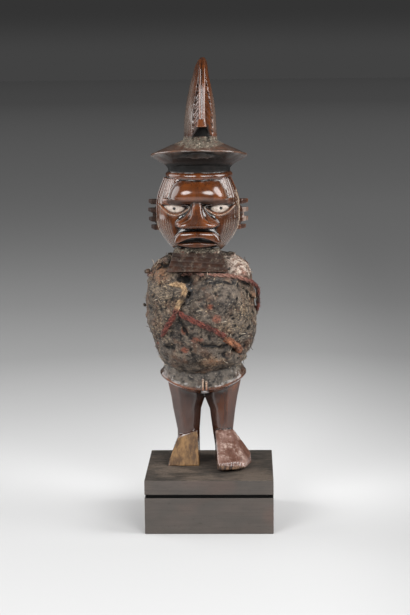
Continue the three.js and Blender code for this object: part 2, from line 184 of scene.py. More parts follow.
for level in range(len(levels) - 1):
    for i in range(ring_size):
        a, b = level * ring_size + i, level * ring_size + (i + 1) % ring_size
        faces.append((a, b, b + ring_size, a + ring_size))
faces.append(tuple(range(ring_size - 1, -1, -1)))
faces.append(tuple(range(len(points) - ring_size, len(points))))

stained_wood, tree, shader = start_finish("stained_plinth_wood", Specular_IOR_Level=0.3)
broad = mottle(tree, 22, (0.8, 1, 1.6), detail=3, place=(0.2, 0, 0.4))
sawn = mottle(tree, 70, (0.35, 1, 9), detail=6, roughness=0.65)
pores = mottle(tree, 900, (0.25, 1, 1.4), detail=2)
top_grain = mottle(tree, 75, (0.8, 7, 1), detail=8, roughness=0.75, place=(0.3, 0.1, 0))
sand = mottle(tree, 1300, (0.8, 1, 1), detail=3, roughness=0.7)
rubbed = mottle(tree, 34, (1, 1.2, 1), detail=8, roughness=0.7, place=(4.6, 2.2, 0))
warm = mottle(tree, 16, (1, 1, 1.3), detail=2, place=(0.05, 0, 0.1))
side_colour = layered(tree, paint(78, 74, 70), [
    (between(tree, broad, 0.35, 0.65), (90, 82, 77)),
    (between(tree, warm, 0.5, 0.62, 0, 0.5), (104, 84, 76)),
    (between(tree, sawn, 0.35, 0.7, 0, 0.4), (70, 64, 60)),
    (between(tree, pores, 0.6, 0.7, 0, 0.3), (50, 45, 42)),
])
rubbed_through = times(tree, between(tree, rubbed, 0.44, 0.6), between(tree, sand, 0.4, 0.6, 0.1, 0.75))
top_colour = layered(tree, paint(42, 39, 36), [
    (between(tree, top_grain, 0.35, 0.68), (82, 76, 70)),
    (rubbed_through, (122, 108, 96)),
    (between(tree, sand, 0.6, 0.68, 0, 0.6), (134, 122, 110)),
])
facing = node(tree, "ShaderNodeSeparateXYZ", {0: node(tree, "ShaderNodeNewGeometry", {}).outputs["Normal"]})
height = node(tree, "ShaderNodeSeparateXYZ", {0: node(tree, "ShaderNodeTexCoord", {}).outputs["Object"]})
on_top = between(tree, height.outputs[2], (PLINTH_HEIGHT - 0.6) * MM, (PLINTH_HEIGHT - 0.2) * MM)
is_top = times(tree, on_top, between(tree, facing.outputs[2], 0.6, 0.8))
colour = blend(tree, is_top, side_colour, top_colour)
# Painted shade: the inside of the groove is painted near black.
above_groove = between(tree, height.outputs[2], GROOVE_HIGH * MM, (GROOVE_HIGH + 0.2) * MM)
below_groove = between(tree, height.outputs[2], GROOVE_LOW * MM, (GROOVE_LOW - 0.2) * MM)
colour = blend(tree, times(tree, above_groove, below_groove, "ADD"), paint(10, 9, 8), colour)
tree.links.new(colour, shader.inputs["Base Color"])
tree.links.new(between(tree, top_grain, 0.3, 0.7, 0.62, 0.42), shader.inputs["Roughness"])
relief(tree, shader, [(top_grain, 0.3, 0.0005), (sand, 0.3, 0.0003)])
piece_from("plinth_block", points, faces, stained_wood, ["plinth"], smooth=False)


# The figure is one piece of dense dark wood, hewn with an adze, finished with a knife and
# polished by years of handling: legs, hips, body, bearded head, brimmed hat and crest in one.
WOOD_STEP = 0.42  # between the places, in mm, at which the carving's surface is worked out
WOOD_TRIANGLES = 196000
GROUND = PLINTH_HEIGHT


def soft_min(a, b, soft):
    """The smaller of two distances, with the crease between them filled to a radius."""
    share = np.clip(0.5 + 0.5 * (b - a) / soft, 0, 1)
    return b + (a - b) * share - soft * share * (1 - share)


def soft_max(a, b, soft):
    return -soft_min(-a, -b, soft)


def ramp(value, start, over):
    """0 up to start and 1 from so much further on, or further down where over is negative."""
    return np.clip((value - start) / over, 0, 1)


def beyond(value, low, high):
    """How far a value lies outside a span, negative inside it."""
    return np.maximum(low - value, value - high)


def spread(rows, heights, smooth=True):
    """The sizes in rows of [height, size, size, ...], read at each height on a smooth curve."""
    rows = np.array(rows, np.float64)
    levels, sizes = rows[:, 0], rows[:, 1:]
    at = np.clip(np.asarray(heights, np.float64), levels[0], levels[-1])
    low = np.clip(np.searchsorted(levels, at, side="right") - 1, 0, len(levels) - 2)
    span = (levels[low + 1] - levels[low])[..., None]
    share = (at - levels[low])[..., None] / span
    start, end = sizes[low], sizes[low + 1]
    if smooth:
        lean = np.gradient(sizes, levels, axis=0)
        ease = share * share * (3 - 2 * share)
        value = start + (end - start) * ease
        value += span * (lean[low] * share * (1 - share) ** 2 - lean[low + 1] * share ** 2 * (1 - share))
    else:
        value = start + (end - start) * share
    return [value[..., k].astype(np.float32) for k in range(sizes.shape[1])]


class Mass:
    """A solid kept as distances in millimetres from its surface, negative inside, on an even grid."""

    DEEPEST, FARTHEST = -3.0, 6.0

    def __init__(self, low, high, step):
        self.low, self.step = np.array(low, np.float32), step
        self.count = np.ceil((np.array(high) - self.low) / step).astype(int) + 1
        self.distance = np.full(self.count, self.FARTHEST, np.float32)

    def part(self, low, high):
        """The slices of a box in the grid, and its places along X, Y and Z."""
        first = np.clip(((np.array(low) - self.low) / self.step).astype(int), 0, self.count)
        last = np.clip(((np.array(high) - self.low) / self.step).astype(int) + 2, 0, self.count)
        where = tuple(slice(a, b) for a, b in zip(first, last))
        places = [self.low[k] + self.step * np.arange(first[k], last[k], dtype=np.float32) for k in range(3)]
        return where, places[0][:, None, None], places[1][None, :, None], places[2][None, None, :]

    def add(self, low, high, shape, soft=1.0):
        where, x, y, z = self.part(low, high)
        self.distance[where] = soft_min(self.distance[where], shape(x, y, z), soft)

    def cut(self, low, high, shape, soft=0.6):
        where, x, y, z = self.part(low, high)
        self.distance[where] = soft_max(self.distance[where], -shape(x, y, z), soft)

    def cloud(self, size, seed, where=None):
        """Smooth random lumps about as wide as size, from -1 to 1, over a box of the grid."""
        where = where or tuple(slice(0, n) for n in self.count)
        counts = [s.stop - s.start for s in where]
        cells = [int(n * self.step / size) + 5 for n in counts]
        value = np.random.default_rng(seed).uniform(-1.7, 1.7, cells).astype(np.float32)
        for axis, (n, m) in enumerate(zip(counts, cells)):
            at = np.arange(n) * self.step / size + 1
            base = at.astype(int)
            t = (at - base)[:, None]
            weights = [(1 - t) ** 3, 3 * t**3 - 6 * t**2 + 4, -3 * t**3 + 3 * t**2 + 3 * t + 1, t**3]
            weights = np.hstack(weights) / 6
            matrix = np.zeros((n, m), np.float32)
            for k in range(4):
                matrix[np.arange(n), base - 1 + k] += weights[:, k].astype(np.float32)
            value = np.moveaxis(np.tensordot(matrix, value, (1, axis)), 0, axis)
        return value

    def softened(self, radius):
        """The mean distance within a box round each place: above 0 on edges, below 0 in hollows."""
        value = np.clip(self.distance, -radius, radius)
        reach = max(1, round(radius / self.step))
        for axis in range(3):
            total = np.cumsum(value, axis=axis, dtype=np.float64)
            place = np.arange(total.shape[axis])
            ahead = np.take(total, np.minimum(place + reach, place[-1]), axis)
            behind = np.take(total, np.maximum(place - reach - 1, 0), axis)
            value = ((ahead - behind) / (2 * reach + 1)).astype(np.float32)
        return value

    def read(self, field, points):
        """A grid's values at points in millimetres."""
        at = np.clip((points - self.low) / self.step, 0, np.array(self.count) - 1.001)
        base = at.astype(int)
        share = at - base
        value = np.zeros(len(points))
        for corner in np.ndindex(2, 2, 2):
            weight = np.prod(np.where(corner, share, 1 - share), axis=1)
            value += weight * field[tuple((base + corner).T)]
        return value

    def surface(self, name, most):
        """A mesh of the solid's surface in metres, thinned to at most so many triangles."""
        grid = openvdb.FloatGrid()
        grid.background = self.FARTHEST
        grid.copyFromArray(np.ascontiguousarray(np.clip(self.distance, self.DEEPEST, self.FARTHEST)))
        corners, _, quads = grid.convertToPolygons(isovalue=0.0, adaptivity=0.0)
        corners = (corners * self.step + self.low) * MM
        mesh = bpy.data.meshes.new(name)
        mesh.vertices.add(len(corners))
        mesh.vertices.foreach_set("co", corners.astype(np.float32).ravel())
        mesh.loops.add(4 * len(quads))
        mesh.loops.foreach_set("vertex_index", quads[:, ::-1].astype(np.int32).ravel())
        mesh.polygons.add(len(quads))
        mesh.polygons.foreach_set("loop_start", np.arange(0, 4 * len(quads), 4, dtype=np.int32))
        mesh.update(calc_edges=True)
        piece = bpy.data.objects.new(name, mesh)
        bpy.context.scene.collection.objects.link(piece)
        share = most / (2 * len(quads))
        if share < 1:
            thin = piece.modifiers.new("thin", "DECIMATE")
            thin.ratio = share
            bake_modifiers(piece)
        return piece


def bake_modifiers(piece):
    """Turns a piece with modifiers into a plain mesh."""
    made = bpy.data.meshes.new_from_object(piece.evaluated_get(bpy.context.evaluated_depsgraph_get()))
    piece.modifiers.clear()
    piece.data = made


def corners_of(piece):
    """A piece's points in millimetres."""
    places = np.zeros(3 * len(piece.data.vertices), np.float32)
    piece.data.vertices.foreach_get("co", places)
    return places.reshape(-1, 3) / MM


def mark(piece, name, values):
    """Keeps a number for each point of a piece, for its material to read."""
    layer = piece.data.attributes.new(name, "FLOAT", "POINT")
    layer.data.foreach_set("value", np.asarray(values, np.float32))


def off_ring(across, along, half, reach, power):
    """Distance from a rounded ring of a half width and a reach, negative inside it."""
    ring = ((np.abs(across) / half) ** power + (np.abs(along) / reach) ** power) ** (1 / power)
    return (ring - 1) * np.hypot(across, along) / np.maximum(ring, 0.01)


def column(rows, power, middle=None):
    """A rounded form through level rings: rows of [height, left, right, front, back] going up."""
    def shape(x, y, z):
        left, right, front, back = spread(rows, z)
        middle_x, half = (left + right) / 2, (right - left) / 2
        middle_y = (front + back) / 2 if middle is None else middle
        reach = np.where(y < middle_y, middle_y - front, back - middle_y)
        side = off_ring(x - middle_x, y - middle_y, half, reach, power)
        return np.maximum(side, beyond(z, rows[0][0], rows[-1][0]))
    return shape


def hewn_limb(rows, edge=1.0):
    """A limb with eight flat faces: rows of [height, left, right, front, back, corner cut]."""
    def shape(x, y, z):
        left, right, front, back, cut = spread(rows, z, smooth=False)
        wide, deep = (right - left) / 2, (back - front) / 2
        across, along = np.abs(x - (left + right) / 2), np.abs(y - (front + back) / 2)
        flat = soft_max(across - wide, along - deep, edge)
        corner = (across + along - (wide + deep - cut)) * 0.707
        return np.maximum(soft_max(flat, corner, edge), beyond(z, rows[0][0], rows[-1][0]))
    return shape


def hewn_block(corners, edge):
    """A block with flat faces round a set of corners, its edges worn round."""
    block = bmesh.new()
    for corner in corners:
        block.verts.new(corner)
    bmesh.ops.convex_hull(block, input=block.verts)
    bmesh.ops.recalc_face_normals(block, faces=block.faces)
    planes = {tuple(round(v, 3) for v in (*f.normal, f.normal.dot(f.verts[0].co))) for f in block.faces}
    block.free()

    def shape(x, y, z):
        whole = None
        for a, b, c, offset in sorted(planes):
            side = a * x + b * y + c * z - offset
            whole = side if whole is None else soft_max(whole, side, edge)
        return whole
    return shape


def rounded_box(low, high, edge):
    """A box from its low corner to its high corner with rounded edges."""
    middle, half = (np.array(low) + high) / 2, (np.array(high) - low) / 2 - edge

    def shape(x, y, z):
        gaps = [np.abs(v - middle[k]) - half[k] for k, v in enumerate((x, y, z))]
        outside = np.sqrt(sum(np.maximum(gap, 0) ** 2 for gap in gaps))
        return outside + np.minimum(np.maximum(gaps[0], np.maximum(gaps[1], gaps[2])), 0) - edge
    return shape


def outline_distance(outline, x, z):
    """Distance in X and Z from a closed outline, negative inside."""
    points = np.array(outline, np.float32)
    nearest = np.full(np.broadcast(x, z).shape, 1e6, np.float32)
    inside = np.zeros(nearest.shape, bool)
    for (ax, az), (bx, bz) in zip(points, np.roll(points, -1, axis=0)):
        ex, ez = bx - ax, bz - az
        share = np.clip(((x - ax) * ex + (z - az) * ez) / (ex * ex + ez * ez), 0, 1)
        nearest = np.minimum(nearest, np.hypot(x - ax - share * ex, z - az - share * ez))
        crossed = (az <= z) != (bz <= z)
        inside ^= crossed & ((x - ax) * np.abs(ez) < (z - az) * ex * np.sign(ez))
    return np.where(inside, -nearest, nearest)


def bow(start, control, end, steps=10):
    """Points along a bowed line from start towards end, without the end itself."""
    t = np.linspace(0, 1, steps, endpoint=False)[:, None]
    return list((1 - t) ** 2 * np.array(start) + 2 * t * (1 - t) * np.array(control) + t * t * np.array(end))


wood = Mass((-46.5, -33.0, GROUND - 1.5), (33.5, 44.5, 343.0), WOOD_STEP)

# Legs are hewn in flat faces. The left foot is a steep wedge worn down to pale end grain, the
# right one splays, with its toe clear of the plinth.
LEFT_LEG = [
    [GROUND, -25.5, -8, 7, 31, 5], [52, -25, -8.1, 7, 29, 5], [64, -24.6, -8.1, 6.6, 27, 5],
    [80, -28, -6.8, 7.4, 27.5, 6], [88.4, -29.3, -3.9, 7.8, 28, 7], [102, -32.2, -2.5, 8.4, 29, 8],
    [112, -31.5, -2, 8.6, 29, 8],
]
RIGHT_LEG = [
    [GROUND, 3.8, 18, 5.6, 31, 5], [52, 3.4, 17.5, 5.6, 29, 5], [64, 1.9, 17, 5.2, 27, 5],
    [80, -0.4, 19, 6.2, 27.5, 6], [88.4, -3.9, 20.4, 6.8, 28, 7], [102, -5, 23.3, 7.6, 29, 8],
    [112, -5, 22.5, 7.8, 29, 8],
]
LEFT_FOOT = [
    (-23.4, 7.5, 61.2), (-9.8, 7, 65.6), (-24, 26, 60), (-9.6, 26, 60),
    (-31.6, -3.2, GROUND), (-8, -4.2, GROUND), (-31.2, -2.0, 43), (-8.1, -3.2, 43),
    (-26.5, 29, GROUND), (-21, 32.5, GROUND), (-12, 32.5, GROUND), (-7.8, 28, GROUND),
]
RIGHT_FOOT = [
    (3.4, 5.5, 65.5), (17.2, 5.5, 66.4), (3.4, 25, 58), (17, 25, 58),
    (6.3, -25.6, 41.8), (24.6, -22, 42.3), (6.3, -24, 46.6), (25.6, -19, 45),
    (31, -4, 42.4), (30.4, -1, 49.6), (5.2, -12, GROUND), (20, -8, GROUND),
    (4.2, 27, GROUND), (8, 32.5, GROUND), (15, 32, GROUND), (18.6, 27, GROUND),
]
wood.add((-38, -4, 38), (4, 36, 115), hewn_limb(LEFT_LEG, 0.7), 0.5)
wood.add((-9, -4, 38), (30, 36, 115), hewn_limb(RIGHT_LEG, 0.7), 0.8)
wood.add((-36, -10, 38), (-3, 38, 70), hewn_block(LEFT_FOOT, 0.7), 0.5)
wood.add((-1, -27, 38), (36, 38, 71), hewn_block(RIGHT_FOOT, 1.0), 0.5)


def open_grain(low, high, depth, spacing, lean=0.0):
    """Upright furrows where the soft wood between the fibres has worn away."""
    where, x, y, z = wood.part(low, high)
    across = (x + lean * z) / spacing + 0.3 * np.sin(0.31 * z + 0.9 * x)
    wood.distance[where] += depth * groove(across, 0.5) + 0.4 * depth * wood.cloud(1.5, 31, where)


def groove(value, width):
    """1 along the middle of each groove of a repeating value, 0 between them."""
    away = np.abs(value - np.round(value))
    return np.clip(1 - away / width, 0, 1) ** 1.5


open_grain((-33, -6, 41), (-6, 9, 59), 0.24, 1.3)
open_grain((2, -28, 40), (33, -18, 46.4), 0.55, 1.35)
open_grain((2, -22, 46.4), (33, 8, 66), 0.22, 1.9, 0.35)

# Hips flare to a crisp undercut lip over the legs, which rises from the middle to the sides,
# and go on up as a plain column to the neck. Two thin ribs run down the middle of the lip.
TRUNK = [
    [94.5, -24, 14, 0, 26], [97.4, -31.5, 21.5, -6, 31], [98.6, -35.6, 26, -11, 34],
    [99.6, -36.9, 27.2, -12.6, 35], [100.8, -36.9, 27.2, -13, 35], [103.5, -35.4, 25.8, -12.8, 34],
    [108.5, -33.6, 24, -13, 33], [114, -33, 22.8, -14.2, 32], [118.5, -33, 22.2, -16.4, 31],
    [123, -30, 19, -15, 30], [128, -24, 13, -6, 28], [170, -24, 11.5, -4, 29],
    [186, -22, 9, -3, 28], [206, -20, 6, 0, 26],
]
LIP_RISE, LIP_MIDDLE, LIP_HALF = 8.8, -4.8, 32.0
RIBS = [(-4.4, 99.6, 107.6), (-1.9, 99.8, 106.2)]


def below_lip_line(x, z):
    """The height on the hips' middle that a place on their side answers to."""
    across = np.minimum(np.abs(x - LIP_MIDDLE) / LIP_HALF, 1)
    return z - LIP_RISE * across ** 2 * ramp(z, 126, -14)


def trunk(x, y, z):
    return column(TRUNK, 2.5)(x, y, below_lip_line(x, z)) * 0.9


wood.add((-43, -18, 90), (33, 41, 210), trunk, 0.6)
for rib_x, rib_low, rib_high in RIBS:
    wood.add((rib_x - 4, -20, rib_low - 4), (rib_x + 4, -4, rib_high + 4),
             rounded_box((rib_x - 0.8, -15.2, rib_low), (rib_x + 0.8, -8, rib_high), 0.7), 0.25)

# The face is a mask-like front with a thin raised rim against the skull behind it.
FACE_X = -7.2
MASK_BACK = 2.0
FACE_POWER = 2.4
EYE_APART, EYE_CORNER, EYE_HALF, EYE_UP, EYE_DOWN = 16.3, 235.2, 9.4, 0.6, 5.0
FACE = [
    [198.5, 8, -5], [201, 14.6, -11], [204.5, 19.2, -16.5], [209.5, 23.5, -18.6], [213.5, 26.2, -19.2],
    [218, 28.5, -19], [223, 29.7, -18.4], [229, 29.9, -17.2], [235, 29.8, -16.2], [241, 28.9, -15.6],
    [248, 26.6, -14.6], [254.5, 24.0, -13],
]
RIM_OUT = 0.65
SKULL = [
    [196, -19, 5, -4, 27], [204, -26, 12, -8, 33], [216, -32.5, 18, -10, 38], [230, -34, 19.5, -10, 39],
    [243, -33, 18.8, -10, 38], [252, -30.8, 17.2, -10, 34], [256, -28, 15, -10, 29],
]


def face_front(x, z):
    """The Y of the face's surface in front of a place."""
    half, front = spread(FACE, z)
    across = np.clip(np.abs(x - FACE_X) / half, 0, 1)
    return MASK_BACK - (MASK_BACK - front) * (1 - across ** FACE_POWER) ** (1 / FACE_POWER)


def eye_outline(side, grow=0.0, steps=40):
    """The almond round an eye, from its right corner, as X and Z."""
    turn = np.linspace(0, 2 * np.pi, steps, endpoint=False)
    rise = np.where(np.sin(turn) > 0, EYE_UP + grow, -EYE_DOWN - grow)
    across = (EYE_HALF + grow) * np.cos(turn)
    return np.stack([FACE_X + side * EYE_APART + across,
                     EYE_CORNER + rise * np.sin(turn) ** 2 + 0.06 * side * across], axis=1)


def bump_at(x, z, middle, size):
    """A round swelling, 1 at its middle."""
    return np.exp(-((x - middle[0]) / size[0]) ** 2 - ((z - middle[1]) / size[1]) ** 2)


def hatching(x, z):
    """The fine upright lines cut on the cheeks and the temples, 1 along the middle of each."""
    across = (x - FACE_X) / spread(FACE, z)[0]
    outer = ramp(np.abs(across), 0.62, 0.08) * ramp(np.abs(across), 0.965, -0.03)
    level = ramp(z, 226, -2.5) * ramp(z, 204, 3) + ramp(z, 239, 4.0)
    level = level + 0.8 * ramp(np.abs(across), 0.86, 0.04) * (z > 226) * (z < 240.5)
    return groove(across * 18, 0.42) * outer * level


def face_relief(x, z):
    """How far the knife left the face proud: lids, cheeks, the swelling round the mouth and fine lines."""
    height = np.zeros(np.broadcast(x, z).shape, np.float32)
    for side in (-1, 1):
        almond = outline_distance(eye_outline(side), x, z)
        below = np.clip((EYE_CORNER + 1.6 - z) / 1.5, 0, 1)
        lid = 1.3 * np.exp(-((almond - 1.3) / 0.8) ** 2) + 0.7 * np.exp(-((almond - 2.8) / 2) ** 2)
        height += below * lid
        height -= 1.4 * np.clip(0.3 - almond, 0, 1)
        height += 0.8 * bump_at(x, z, (FACE_X + side * 18.5, 225.0), (7, 4.5))
        height -= 1.6 * bump_at(x, z, (FACE_X + side * 10.2, 229.5), (2.8, 4.5))
    height += 3.0 * bump_at(x, z, (FACE_X, 209), (15, 8))
    return height - 0.5 * hatching(x, z)


def face(x, y, z):
    rows = [[level, FACE_X - half, FACE_X + half, front, MASK_BACK + 1] for level, half, front in FACE]
    return column(rows, FACE_POWER, MASK_BACK)(x, y, z) - face_relief(x, z) * (y < -1.5)


def face_rim(x, y, z):
    rows = [[level, FACE_X - half - RIM_OUT, FACE_X + half + RIM_OUT, -0.9, MASK_BACK + 1.0]
            for level, half, _ in FACE]
    return column(rows, 2.2, 1.4)(x, y, z)


wood.add((-42, -27, 194), (28, 9, 259), face, 0.5)
wood.add((-43, -8, 196), (29, 10, 256), face_rim, 0.3)
wood.add((-40, -16, 191), (26, 44, 260), column(SKULL, 2.3), 0.4)

# The forehead is a glossy dome, with a chamfered brow along its foot that runs to the temples.
FOREHEAD = [
    [238.6, -28.4, 15.6, -22.6, 0], [241, -28.3, 15.4, -23.6, 0], [244, -27.4, 14.4, -23.9, 0],
    [247.4, -26.0, 12.8, -22.8, 0], [250.8, -23.9, 11.0, -19.8, 0], [253.4, -21.8, 9.2, -15.4, 0],
]
BROW_LOW, BROW_HIGH = 236.9, 240.2


def brow(x, y, z):
    reach = np.clip(1 - np.abs((x - FACE_X - 0.3) / 26.5) ** 3, 0, 1)
    share = np.clip((z - BROW_LOW) / (BROW_HIGH - BROW_LOW), 0, 1)
    front = face_front(x, z) - reach * (4.6 + 2.9 * share)
    shape = soft_max((front - y) * 0.8, np.maximum(y + 3, np.abs(x - FACE_X) - 27), 0.4)
    return soft_max(shape, beyond(z, BROW_LOW, BROW_HIGH), 0.35)


wood.add((-38, -30, 234), (24, 6, 258), column(FOREHEAD, 2.5, -5), 0.45)
wood.add((-38, -29, 233), (24, 0, 244), brow, 0.5)

# The nose is a bell with a flat, sharp-edged ridge down it, and its wings end in points.
NOSE_RIDGE = [
    [220.4, 12.2, -27.6], [221.4, 14.0, -28.8], [222.9, 13.6, -28.9], [224.4, 10.2, -28.5],
    [226, 7.2, -27.9], [228.2, 5.2, -26.9], [231, 4.1, -25.6], [235.4, 3.6, -23.4], [240, 3.5, -21.4],
]
NOSE_BASE = [
    [219.8, 9.5, -22], [221, 14.0, -26.6], [222.8, 15.6, -27.2], [224.4, 14.7, -26.2], [226, 12.6, -24.8],
    [228.2, 9.4, -23.6], [231, 7.0, -22.6], [235.4, 5.7, -20.6], [240, 5.2, -19.4],
]
for rows, power, soft in ((NOSE_BASE, 2.6, 0.8), (NOSE_RIDGE, 5.0, 0.35)):
    rings = [[level, FACE_X - half, FACE_X + half, front, -8] for level, half, front in rows]
    wood.add((-30, -35, 215), (16, -2, 244), column(rings, power), soft)

# Lips: an arched band over the opening, and a thin lens of a lower lip that juts out.
upper_lip = (
    bow((FACE_X + 15.0, 207.9), (FACE_X, 207.6), (FACE_X - 15.0, 207.9))
    + bow((FACE_X - 15.0, 207.9), (FACE_X - 17.4, 208), (FACE_X - 16.9, 210.2), 4)
    + bow((FACE_X - 16.9, 210.2), (FACE_X - 15.4, 216.4), (FACE_X - 10.8, 217.0))
    + bow((FACE_X - 10.8, 217.0), (FACE_X, 217.9), (FACE_X + 10.8, 217.0))
    + bow((FACE_X + 10.8, 217.0), (FACE_X + 15.4, 216.4), (FACE_X + 16.9, 210.2))
    + bow((FACE_X + 16.9, 210.2), (FACE_X + 17.4, 208), (FACE_X + 15.0, 207.9), 4)
)
opening = (
    bow((FACE_X - 14.2, 208.9), (FACE_X, 218.2), (FACE_X + 14.2, 208.9), 14)
    + bow((FACE_X + 14.2, 208.9), (FACE_X, 209.3), (FACE_X - 14.2, 208.9), 6)
)
lower_lip = (
    bow((FACE_X - 15.4, 208.2), (FACE_X, 211.4), (FACE_X + 15.4, 208.2), 10)
    + bow((FACE_X + 15.4, 208.2), (FACE_X, 204.8), (FACE_X - 15.4, 208.2), 10)
)


def lip_band(outline, front, edge, bend=0.012):
    """A lip cut to an outline, its front bent back towards the corners of the mouth."""
    def shape(x, y, z):
        face_of_lip = front + bend * (x - FACE_X) ** 2 - y
        return soft_max(soft_max(outline_distance(outline, x, z), face_of_lip, edge), y + 8, 0.5)
    return shape


wood.add((-30, -33, 203), (16, -4, 221), lip_band(upper_lip, -26.2, 2.6, 0.014), 0.5)
wood.cut((-28, -36, 205), (14, -19, 219),
         lambda x, y, z: np.maximum(outline_distance(opening, x, z), y + 20.5), 0.5)
wood.add((-30, -34, 200), (16, -4, 213), lip_band(lower_lip, -27.0, 0.7, 0.02), 0.3)

# The beard is a plank leaning out below the chin, scored across and clogged with old libation.
BEARD_TOP, BEARD_BOTTOM, BEARD_THICK = 205.0, 189.4, 13.5


def beard(x, y, z):
    up = np.clip((z - BEARD_BOTTOM) / (BEARD_TOP - BEARD_BOTTOM), 0, 1)
    front = -29.4 + 10.6 * up + 0.3 * groove(up * 4.6 + 0.3 + 0.02 * x, 0.3)
    sides = np.maximum(-28.7 + 5.1 * up - x, x - 14.8 + 6.8 * up)
    body = soft_max(sides, front - y, 0.9)
    return soft_max(np.maximum(body, y - front - BEARD_THICK), beyond(z, BEARD_BOTTOM, BEARD_TOP), 0.5)


wood.add((-34, -36, 185), (20, -2, 210), beard, 0.4)

# Each ear is a pad with a comb of blunt pegs along its edge, their ends cut to face forward.
EAR_FRONT, EAR_BACK = 3.0, 10.0
PEGS = [(236.4, 36.6), (230.2, 36.9), (223.6, 36.6), (217.8, 34.8)]


def ear_pad(side):
    def shape(x, y, z):
        around = np.hypot(x - FACE_X - side * 24.2, z - 227) - 9.2
        return soft_max(around, np.abs(y - (EAR_FRONT + EAR_BACK) / 2) - 3.0, 0.8)
    return shape


for side in (-1, 1):
    middle = FACE_X + side * 29
    wood.add((middle - 16, -3, 212), (middle + 16, 16, 242), ear_pad(side), 0.5)
    for level, reach in PEGS:
        cut_back = 4.4 if side > 0 else 2.6
        root = [(22, EAR_FRONT, 2.2, 0), (22, EAR_BACK, 2.2, 0)]
        tip = [(reach - cut_back, EAR_FRONT - 0.6, 1.9, 0.2), (reach, EAR_BACK - 2, 1.5, 0.5)]
        peg = [(FACE_X + side * out, y, level + up + lift)
               for out, y, tall, lift in root + tip for up in (-tall, tall)]
        wood.add((middle - 14, -4, level - 7), (middle + 14, 15, level + 7), hewn_block(peg, 0.35), 0.4)

# The hat has a rolled rim, a sunk dark band and a wide brim that tips up in front.
HAT_X, HAT_Y, BRIM_HEIGHT, BRIM_TILT = -6.1, 7.0, 269.8, math.radians(8.8)
BRIM_RADIUS = 35.0
BAND_X = -6.4
BAND = [
    [249, 22.8], [252.4, 23.3], [254.2, 24.1], [255.6, 24.4], [257.2, 24.0], [258.2, 22.9],
    [260, 22.6], [263, 23.1], [268, 23.6],
]


def hat_band(x, y, z):
    radius, = spread(BAND, z)
    turn = np.arctan2(y - HAT_Y - 1, x - BAND_X)
    side = np.hypot(x - BAND_X, y - HAT_Y - 1) - radius
    side = side - 0.14 * np.sin(7 * turn) - 0.1 * np.sin(12 * turn + 1)
    return np.maximum(side, beyond(z, BAND[0][0], BAND[-1][0]))


def brim(x, y, z):
    forward, upward = y - HAT_Y, z - BRIM_HEIGHT
    along = forward * math.cos(BRIM_TILT) - upward * math.sin(BRIM_TILT)
    height = upward * math.cos(BRIM_TILT) + forward * math.sin(BRIM_TILT)
    radius = np.hypot(x - HAT_X, along)
    turn = np.arctan2(along, x - HAT_X)
    radius = radius + 0.25 * np.sin(5 * turn + 0.6) + 0.18 * np.sin(9 * turn)
    top = np.interp(radius, [0, 13.5, 21, 29, 33.0, 34.0, BRIM_RADIUS], [12, 10, 7.0, 3.4, 1.3, 1.2, 0.5])
    bottom = np.interp(radius, [0, 23, 25, 33.6, BRIM_RADIUS], [-9, -8.6, -6.4, -1.2, -0.7])
    bottom = bottom + 0.3 * np.sin(13 * turn + 0.1 * radius) * ramp(radius, 24, 4)
    thick = soft_max(height - top, bottom - height, 0.5)
    return soft_max(thick.astype(np.float32), radius - BRIM_RADIUS, 0.5)


wood.add((-36, -24, 249), (24, 40, 270), hat_band, 0.4)
wood.add((-46, -33, 256), (33, 44.5, 288), brim, 0.8)

# The crest stands on the brim like the half of a seed. A keel runs down its front between two
# chip-carved strips, to a flared lip over a small blind niche.
KEEL_X = -3.0
CREST = [
    [272, -19, 7.6, -18, 34], [281, -17.6, 7, -17.2, 33], [295.3, -16.8, 6.3, -16.5, 32],
    [309.6, -14.7, 5, -14.5, 30], [320, -12.4, 2.9, -11.8, 27], [327.5, -10.2, 1.4, -8.5, 23],
    [334, -8.2, 0.5, -4.5, 18.5], [338, -6, -0.4, 0.5, 14], [340, -4.4, -1.4, 4.5, 9.5],
]
KEEL_LOW, KEEL_LIP_TOP, KEEL_HIGH = 291.4, 296.8, 338.6
FILL_X, FILL_Y, FILL_WIDE = -5.8, 7.0, 19.5


def crest(x, y, z):
    left, right, front, back = spread(CREST, z)
    middle_x, middle_y, reach = (left + right) / 2, (front + back) / 2, (back - front) / 2
    share = np.clip((y - front) / (1.04 * reach), 0, 1)
    half = (right - left) / 2 * (0.42 + 0.58 * share * share * (3 - 2 * share))
    ring = np.hypot((x - middle_x) / half, (y - middle_y) / reach)
    side = (ring - 1) * np.minimum(half, 9) * 0.9
    across = np.abs(x - KEEL_X) / (7.4 * np.clip((339 - z) / 40, 0.2, 1))
    strip = ramp(across, 1, -0.08) * (y < middle_y) * (z > 284) * ramp(z, 332, -3)
    chips = groove((z + 1.3 * np.abs(x - KEEL_X)) / 4.7, 0.4)
    return np.maximum(side + strip * (0.45 + 0.32 * chips), beyond(z, CREST[0][0], CREST[-1][0]))


def keel(x, y, z):
    front = spread(CREST, z)[2] - 2.4
    half = np.interp(z, [KEEL_LOW, 296, 330, KEEL_HIGH], [2.6, 2.3, 2.2, 1.8]).astype(np.float32)
    side = np.abs(x - KEEL_X) - half
    sunk = 0.75 * np.clip(1 - np.abs(x - KEEL_X + 0.25) / 1.0, 0, 1)
    bar = soft_max(soft_max(side, front + sunk - y, 0.7), y - front - 10, 0.5)
    return np.maximum(bar, beyond(z, KEEL_LOW, KEEL_HIGH))


def keel_lip(x, y, z):
    share = ramp(z, KEEL_LOW, 5.2)
    side = np.abs(x - KEEL_X + 0.4) - (4.0 - 1.4 * share ** 0.6)
    lip = soft_max(soft_max(side, -20.8 + 1.9 * share - y, 0.9), y + 8, 0.5)
    return soft_max(lip, beyond(z, KEEL_LOW, KEEL_LIP_TOP), 0.7)


